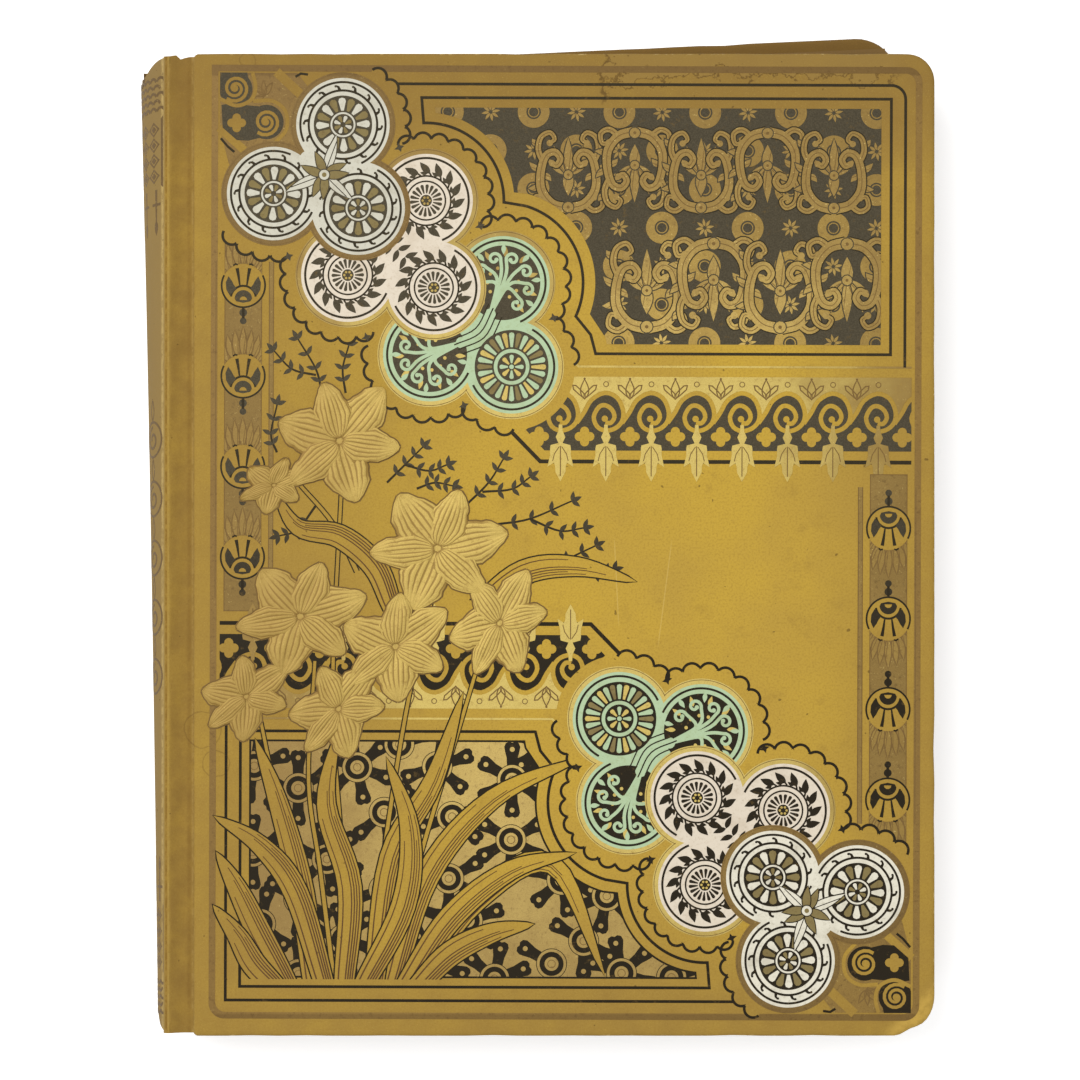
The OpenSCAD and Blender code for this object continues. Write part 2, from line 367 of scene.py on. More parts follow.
def loft(rings, close_last=False):
    """Points and faces of a skin through closed rings of equally many points."""
    count = len(rings[0])
    points = [p for ring in rings for p in ring]
    faces = []
    for k in range(0, len(points) - count, count):
        for i in range(count):
            j = (i + 1) % count
            faces.append((k + i, k + count + i, k + count + j, k + j))
    faces.append(tuple(range(count)))
    if close_last:
        faces.append(tuple(reversed(range(len(points) - count, len(points)))))
    return points, faces


def sheet(rows, columns, place):
    """A closed thin sheet. place(row, column) gives its upper and its lower point there."""
    pairs = [place(r, c) for r in range(rows) for c in range(columns)]
    points = [pair[0] for pair in pairs] + [pair[1] for pair in pairs]
    under = rows * columns
    faces = []
    for r in range(rows - 1):
        for c in range(columns - 1):
            a = r * columns + c
            b, d, e = a + 1, a + columns + 1, a + columns
            faces.append((a, b, d, e))
            faces.append((under + a, under + e, under + d, under + b))
    rim = list(range(columns)) + [r * columns + columns - 1 for r in range(1, rows)]
    rim += [(rows - 1) * columns + c for c in range(columns - 2, -1, -1)]
    rim += [r * columns for r in range(rows - 2, 0, -1)]
    faces += [(b, a, under + a, under + b) for a, b in zip(rim, rim[1:] + rim[:1])]
    return points, faces


def joined(parts):
    """Several lots of points and faces as one."""
    points, faces = [], []
    for more_points, more_faces in parts:
        start = len(points)
        points += more_points
        faces += [tuple(start + i for i in face) for face in more_faces]
    return points, faces


# Covers: inset from the outline and depth under the face, ring by ring round the cloth's edge
slab_rings = [(14, 0), (8, 0), (4, 0), (2, 0.02), (1.2, 0.08), (0.6, 0.28), (0.25, 0.6), (0, 1.3),
              (0, 2.7), (0.25, 3.4), (0.6, 3.75), (1.2, 3.95), (2.5, 4.0), (16, 4.0), (16, 3.55)]
corner_radii = {"front": (13.5, 9.4, 1.6, 1.6), "rear": (20, 14, 1.6, 1.6)}
dent_at, dent_deep, dent_wide = (116.8, -163.6), 1.2, 3.6
rear_pull, board_inset, edge_hollow = 2.4, 0.8, 0.35


def board_outline(radii, inset, per_corner=10, per_side=26):
    """The outline of a cover, anticlockwise from the lower right corner, one radius a corner."""
    arcs = []
    corners = ((board_right, -board_half_h), (board_right, board_half_h),
               (board_left, board_half_h), (board_left, -board_half_h))
    for number, ((cx, cy), radius) in enumerate(zip(corners, radii)):
        radius = max(radius - inset, 0.4)
        centre = (cx - math.copysign(inset + radius, cx), cy - math.copysign(inset + radius, cy))
        arcs.append([off(centre, radius, 90 * (number - 1 + k / per_corner)) for k in range(per_corner + 1)])
    outline = []
    for points, (after, *_) in zip(arcs, arcs[1:] + arcs[:1]):
        (x0, y0), (x1, y1) = points[-1], after
        outline += points
        outline += [(x0 + (x1 - x0) * k / per_side, y0 + (y1 - y0) * k / per_side)
                    for k in range(1, per_side)]
    return outline


def cover_point(x, y, inset, rear):
    """A point of a cover's straight outline, where the worn and slanting book has it."""
    wave = math.sin(x * 0.31 + y * 0.17) * math.sin(x * 0.083 - y * 0.127 + 1.3)
    wear = edge_hollow * max(wave, 0) ** 2 if inset < 3 else 0
    if x > board_left + 2:
        x -= math.copysign(wear, x)
    y -= math.copysign(wear, y)
    if rear:
        return skewed(x - rear_pull * smooth(100, 124, x) * smooth(40, -150, y), y, 1)
    dent = dent_deep * math.exp(-(math.dist((x, y), dent_at) / dent_wide) ** 2)
    return x - 0.6 * dent, y + 0.8 * dent


for side, radii in corner_radii.items():
    rear = side == "rear"
    rings = [[(*cover_point(x, y, inset, rear), depth if rear else face_z - depth)
              for x, y in board_outline(radii, inset)] for inset, depth in slab_rings]
    skin = add_mesh(f"{side}_cover_skin", *loft([ring[::-1] if rear else ring for ring in rings]), cloth)
    soften(skin, 40)
    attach(skin, f"{side}_cover")
    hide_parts(f"{side}_cover_cloth")

for side, radii in corner_radii.items():
    low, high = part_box(f"{side}_board")
    outline = [cover_point(x, y, board_inset, side == "rear") for x, y in board_outline(radii, board_inset)]
    rings = [[(*spot, z / MM) for spot in outline] for z in (high.z, low.z)]
    board = add_mesh(f"{side}_millboard", *loft(rings, close_last=True), board_stuff)
    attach(board, f"{side}_cover")
    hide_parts(f"{side}_board")


# Joints: x and z across the cloth, from a rubbed ridge at the fold down into the groove
joint_profile = ((-134.7, 36.2), (-134.3, 36.9), (-133.7, 37.3), (-133.0, 37.4), (-132.3, 37.1),
                 (-131.5, 36.75), (-130.4, 36.2), (-129.0, 35.6), (-127.5, 35.3), (-126.0, 35.2),
                 (-124.9, 35.2), (-123.5, 35.3))
joint_half_h, joint_rows, rear_groove_lift = 164.2, 68, 1.0


def joint_strip(side):
    """The strip of cloth between spine and board, pressed down at head and tail."""
    rear = side == "rear"

    def place(r, c):
        x, z = joint_profile[c]
        y = joint_half_h * (2 * r / joint_rows - 1)
        end = max(smooth(162.2, 163.9, y), smooth(162.2, 164.2, -y))
        frayed = 1.1 * math.exp(-((x + 128.6) / 1.0) ** 2) - 0.5 * math.exp(-((x + 130.6) / 1.2) ** 2)
        y -= frayed * smooth(158, 164, y)
        ruck = 0.18 * math.sin(y * 0.9 + x) * math.sin(y * 0.23) * smooth(-134.6, -132, x)
        upper, lower = z + ruck - 0.45 * end, z - 0.5 + ruck * 0.5 - 0.1 * end
        if not rear:
            return (x, y, upper), (x, y, lower)
        mirror = front_fold[2] + rear_fold[2] - rear_groove_lift * smooth(-131, -128.5, x)
        return (*skewed(x, y, 1), mirror - lower), (*skewed(x, y, 1), mirror - upper)

    thing = add_mesh(f"{side}_joint_cloth", *sheet(joint_rows + 1, len(joint_profile), place), cloth)
    soften(thing, 60)
    fold_z = (rear_fold if rear else front_fold)[2]
    [metres(skewed(x, 0, 1 if rear else 0), fold_z) for x in joint_bend]
    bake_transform(thing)


joint_strip("front")
joint_strip("rear")

# Spine cloth, bowed outwards and rolled over at head and tail
spine_across, spine_along, spine_half_h, spine_thick = 24, 90, 164.0, 0.95


def spine_place(t, y, depth=0.0):
    """A point of the spine's outer face: t runs from the front fold to the rear one."""
    bow = 4 * t * (1 - t)
    swell = 5.7 - 0.004 * y
    x, y = skewed(front_fold[0] - swell * bow + depth, y, t)
    return x, y, front_fold[2] + (rear_fold[2] - front_fold[2]) * t


def spine_sheet(r, c):
    """The outer and the inner point of the spine cloth in one row and column."""
    t = 1 - c / spine_across
    bow = 4 * t * (1 - t)
    share = -1 + 2 * r / spine_along
    reach = spine_half_h - (4.2 * bow ** 3 + 3.5 * t ** 3 if share > 0 else 4.5 * bow ** 2)
    y = share * reach
    return spine_place(t, y, 0.5 * smooth(reach - 2.2, reach, abs(y))), spine_place(t, y, spine_thick)


spine = add_mesh("spine_skin", *sheet(spine_along + 1, spine_across + 1, spine_sheet), cloth)
soften(spine, 60)
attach(spine, "text_block")
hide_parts("spine_cloth")

# Leaves and guards, as thin sheets that follow the slanting block
leaf_columns = (-130.5, -128, -125.5, -123, -120, -117, -113, -100, -70, -35, 0, 35, 70, 100, 113, 118)
leaf_rows, leaves_in_section, leaf_pitch = 14, 4, 0.9
# where each kind of paper starts and ends, and its thickness
paper_sizes = {"guards": (leaf_start_x, -113.9, 0.85), "leaves": (-114.2, leaf_end_x, 0.4)}


def paper(x_from, x_to, upper, thickness, seed):
    """One leaf as a closed thin sheet, with slightly uneven edges."""
    inset = 0.25 + 0.55 * abs(math.sin(seed * 2.7))
    columns = [x_from] + [x for x in leaf_columns if x_from < x < x_to] + [x_to]

    def place(r, c):
        x = columns[c]
        y = (-1 + 2 * r / leaf_rows) * (leaf_half_h - 0.5 * inset)
        if x > x_to - 1 > 0:
            x -= inset * (1 + 0.5 * math.sin(y * 0.03 + seed))
        spot = skewed(x, y, share_at(upper))
        return (*spot, upper), (*spot, upper - thickness)

    return sheet(leaf_rows + 1, len(columns), place)


for section in range(1, 9):
    body = f"section_{section}"
    for kind, (x_from, x_to, thickness) in paper_sizes.items():
        node = f"{body}_{kind}"
        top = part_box(node)[1].z / MM
        seed = section * leaves_in_section
        parts = [paper(x_from, x_to, top - leaf_pitch * number, thickness, seed + number)
                 for number in range(leaves_in_section)]
        thing = add_mesh(f"{node}_paper", *joined(parts), papers[kind])
        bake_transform(thing)
        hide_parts(node)

# Drawing tools: flat outlines in millimetres from the middle of the cover's design
def arc(cx, cy, r, start, end, chord=0.8):
    """Points along a circle's arc, from one angle in degrees to another."""
    steps = max(2, math.ceil(abs(math.radians(end - start)) * r / chord))
    return [off((cx, cy), r, start + (end - start) * k / steps) for k in range(steps + 1)]


def disc(cx, cy, r):
    return arc(cx, cy, r, 0, 360, min(0.8, r / 1.6))[:-1]


def hoop(cx, cy, r, width):
    """A ring: the two outlines that bound it."""
    return [disc(cx, cy, r + width / 2), disc(cx, cy, r - width / 2)]


def placed(points, at=(0, 0), turn=0, size=1.0, flip=False):
    """Points mirrored if flip is set, then scaled, turned and moved."""
    c, s = math.cos(math.radians(turn)), math.sin(math.radians(turn))
    scaled = [(x * (-size if flip else size), y * size) for x, y in points]
    return [(at[0] + x * c - y * s, at[1] + x * s + y * c) for x, y in scaled]


def moved(points, dx, dy):
    return [(x + dx, y + dy) for x, y in points]


def through(points, steps=5):
    """A smooth curve through the points."""
    points = [np.array(p, float) for p in points]
    points = [2 * points[0] - points[1]] + points + [2 * points[-1] - points[-2]]
    curve = []
    for a, b, c, d in zip(points, points[1:], points[2:], points[3:]):
        for k in range(steps):
            t = k / steps
            curve.append(tuple(0.5 * (2 * b + (c - a) * t + (2 * a - 5 * b + 4 * c - d) * t * t
                                      + (3 * b - 3 * c + d - a) * t ** 3)))
    curve.append(tuple(points[-2]))
    return curve


def ribbon(path, width, last_width=None, closed=False):
    """A drawn line, tapering if it has a last width, as small quads that share their joints."""
    count = len(path)
    last_width = width if last_width is None else last_width
    normals = []
    for (ax, ay), (bx, by) in zip(path, path[1:] + path[:1]):
        long = math.hypot(bx - ax, by - ay) or 1.0
        normals.append(((ay - by) / long, (bx - ax) / long))
    sides = []
    for i, (x, y) in enumerate(path):
        met = [normals[k] for k in (i - 1, i) if closed or 0 <= k < count - 1]
        nx, ny = (sum(values) / len(met) for values in zip(*met))
        square = max(nx * nx + ny * ny, 0.35)
        half = 0.5 * (width + (last_width - width) * i / max(count - 1, 1)) / square
        sides.append(((x + nx * half, y + ny * half), (x - nx * half, y - ny * half)))
    pairs = list(zip(sides, sides[1:])) + ([(sides[-1], sides[0])] if closed else [])
    return [[r0, r1, l1, l0] for (l0, r0), (l1, r1) in pairs]


def leaf(at, turn, length, width, bend=0.0):
    """A pointed leaf from its stalk, its tip bent sideways by a share of its length."""
    steps = 7
    left, right = [], []
    for k in range(steps + 1):
        t = k / steps
        half = 0.5 * width * math.sin(math.pi * t ** 0.8)
        slope = math.atan(2 * bend * t)
        x, y = length * t, bend * length * t * t
        left.append((x - half * math.sin(slope), y + half * math.cos(slope)))
        right.append((x + half * math.sin(slope), y - half * math.cos(slope)))
    return placed(right + left[-2:0:-1], at, turn)


def spiral(cx, cy, r_start, r_end, start, end):
    """A curve that winds from one radius and angle to another."""
    steps = max(6, int(abs(end - start) / 22))
    shares = [k / steps for k in range(steps + 1)]
    return [off((cx, cy), r_start + (r_end - r_start) * t, start + (end - start) * t) for t in shares]


class Plate:
    """A flat drawing: shapes laid one over another, then cut into faces that never overlap."""

    def __init__(self):
        self.shapes = []
        self.loops = []
        self.clips = {}
        self.turned = False

    def keep(self, loop, owner):
        """Notes one outline, anticlockwise, of a shape or, where owner is below 0, of a clip."""
        loop = np.array(loop, float)
        if self.turned:
            loop = -loop
        x, y = loop[:, 0], loop[:, 1]
        area = float(np.sum(x * np.roll(y, -1) - np.roll(x, -1) * y))
        if abs(area) < 1e-5:
            return
        self.loops.append((owner, loop if area > 0 else loop[::-1]))

    def lay(self, paint, loops, clip=None, odd=True):
        """Lays one shape, inside the outline clip if it has one. odd: even overlaps are holes."""
        if not isinstance(loops[0][0], (list, tuple)):
            loops = [loops]
        clip_number = None
        if clip:
            key = (tuple(clip), self.turned)
            if key not in self.clips:
                self.clips[key] = -1 - len(self.clips)
                self.keep(clip, self.clips[key])
            clip_number = self.clips[key]
        number = len(self.shapes)
        self.shapes.append((paint, clip_number, odd))
        for loop in loops:
            self.keep(loop, number)

    def draw(self, paint, path, width, last_width=None, closed=False, clip=None):
        """Draws a line."""
        self.lay(paint, ribbon(path, width, last_width, closed), clip, odd=False)

    def edged(self, paint, outline, edge, clip=None):
        """Lays a shape with an ink line round it."""
        self.draw("ink", outline, 2 * edge, closed=True, clip=clip)
        self.lay(paint, outline, clip)

    def solve(self, tile=16.0):
        """The triangles of every paint that shows."""
        lows = np.array([loop.min(0) for _, loop in self.loops])
        highs = np.array([loop.max(0) for _, loop in self.loops])
        low, high = lows.min(0), highs.max(0)
        faces_of = {}
        for i in range(math.ceil((high[0] - low[0]) / tile)):
            for j in range(math.ceil((high[1] - low[1]) / tile)):
                x0, y0 = low[0] + i * tile, low[1] + j * tile
                x1, y1 = x0 + tile, y0 + tile
                near = (lows[:, 0] < x1) & (highs[:, 0] > x0) & (lows[:, 1] < y1) & (highs[:, 1] > y0)
                self.solve_tile([self.loops[k] for k in np.nonzero(near)[0]], (x0, y0, x1, y1), faces_of)
        return {paint: np.array(triangles) for paint, triangles in faces_of.items()}

    def solve_tile(self, loops, tile, faces_of):
        """Cuts one tile along every outline, then finds what lies on top of each triangle."""
        if not loops:
            return
        x0, y0, x1, y1 = tile
        points = [(x0, y0), (x1, y0), (x1, y1), (x0, y1)]
        edges = [(0, 1), (1, 2), (2, 3), (3, 0)]
        for owner, loop in loops:
            start, count = len(points), len(loop)
            points += [tuple(p) for p in loop]
            edges += [(start + k, start + (k + 1) % count) for k in range(count)]
        spots, _, cut, _, _, _ = delaunay_2d_cdt([Vector(p) for p in points], edges, [], 0, 1e-5, False)
        spots = np.array([(p.x, p.y) for p in spots])
        triangles = spots[np.array(cut)]
        x, y = triangles.mean(axis=1).T
        kept = (x > x0) & (x < x1) & (y > y0) & (y < y1)
        triangles, x, y = triangles[kept], x[kept], y[kept]
        counts = {}
        for owner, loop in loops:
            (left, low), (right, high) = loop.min(0), loop.max(0)
            near = np.nonzero((x > left) & (x < right) & (y > low) & (y < high))[0]
            px, py = x[near, None], y[near, None]
            (ax, ay), (bx, by) = loop.T, np.roll(loop, -1, axis=0).T
            rise = np.where(by == ay, 1.0, by - ay)
            crossed = ((ay > py) != (by > py)) & (px < ax + (py - ay) * (bx - ax) / rise)
            times = counts.setdefault(owner, np.zeros(len(x), int))
            times[near] += crossed.sum(axis=1) % 2
        top = np.full(len(x), -1)
        for owner in sorted(owner for owner in counts if owner >= 0):
            paint, clip, odd = self.shapes[owner]
            inside = counts[owner] % 2 == 1 if odd else counts[owner] > 0
            if clip is not None:
                inside = inside & (counts.get(clip, 0) % 2 == 1)
            top[inside] = owner
        for owner in np.unique(top[top >= 0]):
            paint = self.shapes[owner][0]
            if paint != "bare":
                faces_of.setdefault(paint, []).extend(triangles[top == owner])


# How deep the films and the raised petals reach into the cloth
film_sunk, petal_sunk = 0.03, 0.02


def film(name, triangles, height, stuff, onto):
    """The faces of one paint as a thin film with side walls, laid on a surface by the function onto."""
    flat, index = np.unique(np.round(triangles.reshape(-1, 2), 4), axis=0, return_inverse=True)
    corners = index.reshape(-1, 3)
    corners = corners[(corners[:, 0] != corners[:, 1]) & (corners[:, 1] != corners[:, 2])
                      & (corners[:, 2] != corners[:, 0])]
    a, b, c = (flat[corners[:, k]] for k in range(3))
    area = (b[:, 0] - a[:, 0]) * (c[:, 1] - a[:, 1]) - (b[:, 1] - a[:, 1]) * (c[:, 0] - a[:, 0])
    corners[area < 0] = corners[area < 0][:, ::-1]
    sides = np.concatenate([corners[:, [0, 1]], corners[:, [1, 2]], corners[:, [2, 0]]])
    _, where, counts = np.unique(np.sort(sides, axis=1), axis=0, return_index=True, return_counts=True)
    rim = sides[where[counts == 1]]
    lower = {}
    for k in np.unique(rim):
        lower[int(k)] = len(flat) + len(lower)
    points = [onto(x, y, height) for x, y in flat] + [onto(*flat[k], -film_sunk) for k in lower]
    faces = [tuple(int(k) for k in face) for face in corners]
    faces += [(int(q), int(p), lower[int(p)], lower[int(q)]) for p, q in rim]
    return add_mesh(name, points, faces, stuff)


def spoke(cx, cy, angle, r_in, r_out, wide_in, wide_out):
    """A petal-like spoke with a round outer end."""
    end = wide_out / 2
    outline = [(r_in, -wide_in / 2), (r_out - end, -end), (r_out - 0.3 * end, -0.8 * end), (r_out, 0),
               (r_out - 0.3 * end, 0.8 * end), (r_out - end, end), (r_in, wide_in / 2)]
    return placed(outline, (cx, cy), angle)


def rounded(half_w, half_h, r):
    """A rectangle round the middle with rounded corners, but for a sharp one at the upper left."""
    centre_x, centre_y = half_w - r, half_h - r
    return (arc(centre_x, centre_y, r, 0, 90) + [(-half_w, half_h)] + arc(-centre_x, -centre_y, r, 180, 270)
            + arc(centre_x, -centre_y, r, 270, 360))


def quatrefoil(at, size=1.0):
    """Four round leaves and their middle, as one shape's outlines."""
    middle = [(-1.6, -1.6), (1.6, -1.6), (1.6, 1.6), (-1.6, 1.6)]
    leaves = [disc(*off((0, 0), 1.8, 90 * k), 1.55) for k in range(4)]
    return [placed(outline, at, size=size) for outline in leaves + [middle]]


# The blocked design: places measured on the photograph
mint_lobes = ((-21.3, 87.2), (-45.8, 63.0), (-18.3, 59.0))
pink_lobes = ((-47.2, 114.7), (-73.4, 89.6), (-44.5, 85.5))
white_lobes = ((-75.2, 140.1), (-98.4, 116.9), (-70.0, 112.1))
pigment_r, rim_r = 15.7, 17.6
chain_r, chain_step, chain_half = 20.9, 15.6, 74
chain_runs = ((white_lobes[0], -17.5, 62), (pink_lobes[0], -25, 117), (mint_lobes[0], -35.5, 111),
              (mint_lobes[2], 2, 51), (mint_lobes[2], -141, -88), (mint_lobes[1], 172, 304),
              (pink_lobes[1], 162.7, 294.4), (white_lobes[1], -143, -76.5))
diamonds = ((-56.2, 132.5), (-29.0, 106.3), (-4.2, 75.5), (-34.2, 46.0), (-67.0, 68.8), (-93.3, 95.8))

outer_rule = [(-58.2, 153.9)] + arc(109.0, 149.2, 4.7, 90, 0) + [(113.7, 59.2)]
inner_rule = ([(-48.8, 149.3)] + arc(*pink_lobes[0], 26.1, 92, -1) + arc(*mint_lobes[0], 26.9, 74, -24.5)
              + [(8.2, 69.9), (9.9, 63.5), (108.9, 63.5), (108.9, 149.3)])
panel = ([(-44.3, 146.0)] + arc(*pink_lobes[0], 29.6, 84, 5.6) + arc(*mint_lobes[0], 31.0, 74.5, -19.6)
         + [(13.2, 68.9), (13.6, 66.7), (105.6, 66.7), (105.6, 146.0)])

# Width of the rules, then the border of running scrolls: height, units and what each repeats
rule_w = 0.95
unit_y = 41.9
units = [-1.8 + 15.24 * i for i in range(-1, 9)]
whole_units = units[1:-1]
wave = through(((-9.8, -1.6), (-7.3, 2.0), (-4.9, 6.1), (-0.4, 8.5), (3.7, 6.9), (5.7, 2.85), (5.5, -0.8),
                (3.3, -3.3), (0, -4.2), (-2.9, -2.9), (-4.1, 0.4), (-2.4, 3.7), (-0.2, 4.3), (2.0, 2.85),
                (2.85, 0.4), (1.6, -1.6), (-0.2, -1.4)), 3)
band_clip = [(-15.3, 39.9), (-7.2, 31.0), (116, 31.0), (116, 54.6), (-15.3, 54.6)]
pendant_side = ((0.6, -2.2), (0.7, -4.3), (1.6, -6.4), (0.7, -8.4), (3.3, -9.1), (3.5, -10.2), (3.5, -12.6),
                (4.4, -16.4), (2.2, -15.0), (1.8, -16.2), (1.7, -18.1), (0, -21.3))
band_petal = ((0.2, -2.9), (1.9, -1.4), (3.7, 0.2), (4.0, 1.6), (2.9, 1.5), (1.5, 0.2), (0.2, -1.2))


def draw_rules(plate):
    """The outer and the inner line beside the border."""
    square = [outer_rule[0], (outer_rule[-1][0], outer_rule[0][1]), outer_rule[-1]]
    plate.draw("line", square if plate.turned else outer_rule, rule_w)
    plate.draw("line", inner_rule, rule_w, closed=True)


def draw_band(plate):
    """The border of running scrolls with pendants under it."""
    plate.lay("gilt", [(-12, 40.9), (116, 40.9), (116, 55.8), (-6, 55.8)])
    for cx in units:
        body = moved([(-9.8, -11.1)] + wave[:18] + [(5.44, -11.1)], cx, unit_y)
        plate.lay("ink", body[::-1], band_clip)
    for cx in units:
        plate.draw("bare", moved(wave, cx, unit_y), 1.5, clip=band_clip)
        plate.lay("bare", disc(cx - 0.4, unit_y - 0.2, 1.1), band_clip)
        plate.lay("bare", quatrefoil((cx + 8.06, unit_y - 6.2)), band_clip, odd=False)
        if cx not in whole_units:
            continue
        for flip in (True, False):
            petal = placed(band_petal, (cx - 7.2, unit_y + 9.4), flip=flip)
            plate.draw("crease", petal, 0.42, closed=True)
        plate.draw("crease", leaf((cx - 7.2, unit_y + 6.4), 90, 6.6, 2.8), 0.42, closed=True)
        plate.lay("crease", hoop(cx, unit_y + 11.4, 0.85, 0.3))
        plate.lay("crease", disc(cx - 7.2, unit_y + 13.2, 0.4))
    plate.draw("line", [(-21.1, 40.1), (-8.6, 27.3), (116, 27.3)], 1.3)
    plate.draw("gilt", [(1.5, 62.0), (4.2, 59.2), (116, 59.2)], 0.7)
    for cx in whole_units:
        at = (cx, unit_y)
        plate.lay("gilt", placed(pendant_side, at, flip=True) + placed(pendant_side, at)[::-1])
        plate.draw("crease", moved([(0, -9.4), (0, -15.5), (0, -19.5)], *at), 0.35)
        for side in (-1, 1):
            fold = [(0.4 * side, -9.6), (2.0 * side, -12.0), (2.6 * side, -14.4)]
            plate.draw("crease", moved(fold, *at), 0.3)


def draw_column(plate):
    """The upright border of rings beside the spine."""
    left, right, top, foot = -114.6, -102.3, 101.6, -23.2
    strip = [(left, foot), (right, foot), (right, top), (left, top)]
    plate.lay("bronze", strip)
    plate.draw("crease", strip, 0.3, closed=True)
    plate.draw("bronze", [(-99.0, 94), (-99.0, -19)], 1.3)
    for x in (-99.7, -98.3, -117.6):
        plate.draw("crease", [(x, 94), (x, -19)], 0.3)
    wedge = ((-5.0, 3.1), (-5.9, 1.0), (-5.7, -1.4), (-4.6, -3.3), (-3.4, -2.2), (-2.3, -0.9), (-3.2, 0.2),
             (-3.9, 1.6))
    for k in range(4):
        x, y = (left + right) / 2, 86.0 - 30.4 * k
        at = (x, y)
        for step in (-4, 4, -3, 3, -2, 2, -1, 1, 0):
            angle = 90 + step * 15
            base = off(at, 6.4, angle)
            plume = leaf(base, angle - 4 * step, 10.4 - 0.9 * abs(step), 2.5, -0.07 * step)
            plate.lay("old_gilt", plume, strip)
            plate.draw("crease", plume, 0.4, closed=True, clip=strip)
            plate.draw("crease", [base, plume[5]], 0.3, 0.15, clip=strip)
        plate.lay("bare", disc(*at, 7.3))
        plate.draw("line", arc(*at, 7.3, 152, 388), 0.6)
        plate.draw("line", arc(x, y - 4.3, 4.2, 8, 172), 0.7)
        for flip in (False, True):
            plate.lay("ink", placed(wedge, at, flip=flip))
            plate.draw("line", placed([(-2.1, 5.8), (-1.6, 3.0), (-1.2, 0.1)], at, flip=flip), 1.15, 0.5)
            plate.draw("line", placed([(-3.4, 6.7), (-2.6, 7.2), (-1.9, 7.0)], at, flip=flip), 0.55)
        plate.lay("ink", arc(x, y - 4.5, 2.95, 4, 176) + moved([(-2.4, -5.3), (0, -5.8), (2.4, -5.3)], *at))
        plate.lay("bare", arc(x, y - 4.9, 1.27, 0, 180))
        plate.lay("ink", disc(x, y - 9.1, 1.35))
        plate.lay("ink", disc(x, y - 11.9, 1.15))
        plate.draw("line", moved([(0, -7.6), (0, -11.0)], *at), 0.9)


def draw_corner(plate):
    """The corner piece: two scrolls and a quatrefoil on a worn gold ground."""
    field = [(-116.5, 157.5), (-80, 157.5), (-80, 122), (-116.5, 122)]
    plate.lay("corner_bronze", [(-116.4, 157.4), (-90.6, 157.4), (-82, 146.4), (-84, 128), (-98, 124),
                                (-113.4, 126.6), (-116.4, 138.2)])
    plate.draw("bare", [(-97.6, 157.8), (-89.0, 149.8)], 3.2)
    plate.draw("bare", [(-116.8, 139.0), (-108.3, 131.4)], 2.8)
    plate.draw("line", [(-91.2, 156.1), (-89.4, 157.2), (-87.0, 156.9)], 0.8)
    plate.draw("line", [(-116.2, 135.4), (-113.8, 132.6), (-111.6, 130.8)], 0.8)
    for k in range(5):
        plate.draw("crease", leaf((-101.5, 149.8), 60 + 36 * k, 5.2, 1.7), 0.4, closed=True)
    plate.lay("ink", [(-116.5, 157.5), (-107.4, 157.5), (-106.4, 153.0), (-111, 149), (-116.5, 151.5)])
    plate.lay("ink", disc(-111.2, 152.0, 5.6), field)
    plate.lay("ink", [(-116.0, 146.6), (-113.4, 147.0), (-103.5, 146.2), (-102.0, 135.8), (-107.0, 134.6),
                      (-110.8, 134.8), (-115.6, 139.0)])
    plate.lay("ink", disc(-100.9, 140.9, 5.8))
    for cx, cy in ((-111.4, 152.2), (-101.0, 140.9)):
        plate.draw("bare", spiral(cx, cy, 4.5, 0.9, -130, 590), 1.15, 0.95)
        plate.lay("bare", disc(cx - 0.2, cy, 1.25))
    vines = (((-116.4, 148.6), (-111, 146.4), (-106.0, 148.4), (-104.6, 152.6), (-105.6, 157.4)),
             ((-105.4, 147.9), (-99.0, 148.0), (-94.6, 144.6), (-94.2, 138.6), (-97.8, 134.2)))
    for vine in vines:
        plate.draw("bare", through(vine), 1.3)
    plate.lay("bare", quatrefoil((-110.9, 140.6), 0.95), odd=False)


def draw_chain(plate):
    """The scalloped border round the three trefoils."""
    for x, y in mint_lobes + pink_lobes + white_lobes[2:]:
        plate.lay("bare", disc(x, y, chain_r + 0.4))
    paths = []
    for (cx, cy), start, end in chain_runs:
        count = round((end - start) / chain_step)
        step = (end - start) / count
        path = []
        bulge = chain_r * math.sin(math.radians(step / 2)) / math.sin(math.radians(chain_half))
        far = chain_r * math.cos(math.radians(step / 2)) - bulge * math.cos(math.radians(chain_half))
        for k in range(count):
            middle = start + step * (k + 0.5)
            path += arc(*off((cx, cy), far, middle), bulge, middle - chain_half, middle + chain_half)
        plate.lay("bare", [(cx, cy)] + path)
        paths.append(path)
    for path in paths:
        plate.draw("line", path, 0.9)
    star = ((-1.9, 0), (-0.5, -0.6), (0, -1.6), (0.6, -0.5), (1.7, 0), (0.5, 0.6), (0, 1.7), (-0.6, 0.5))
    for at in diamonds:
        plate.lay("ink", placed(star, at, 20))


def within(lobes, far, aside=0):
    """A point so far from between the back lobes towards the front one, and to its side."""
    (ax, ay), (bx, by), (cx, cy) = lobes
    mx, my = (ax + bx) / 2, (ay + by) / 2
    long = math.hypot(cx - mx, cy - my)
    ux, uy = (cx - mx) / long, (cy - my) / long
    return mx + far * ux - aside * uy, my + far * uy + aside * ux


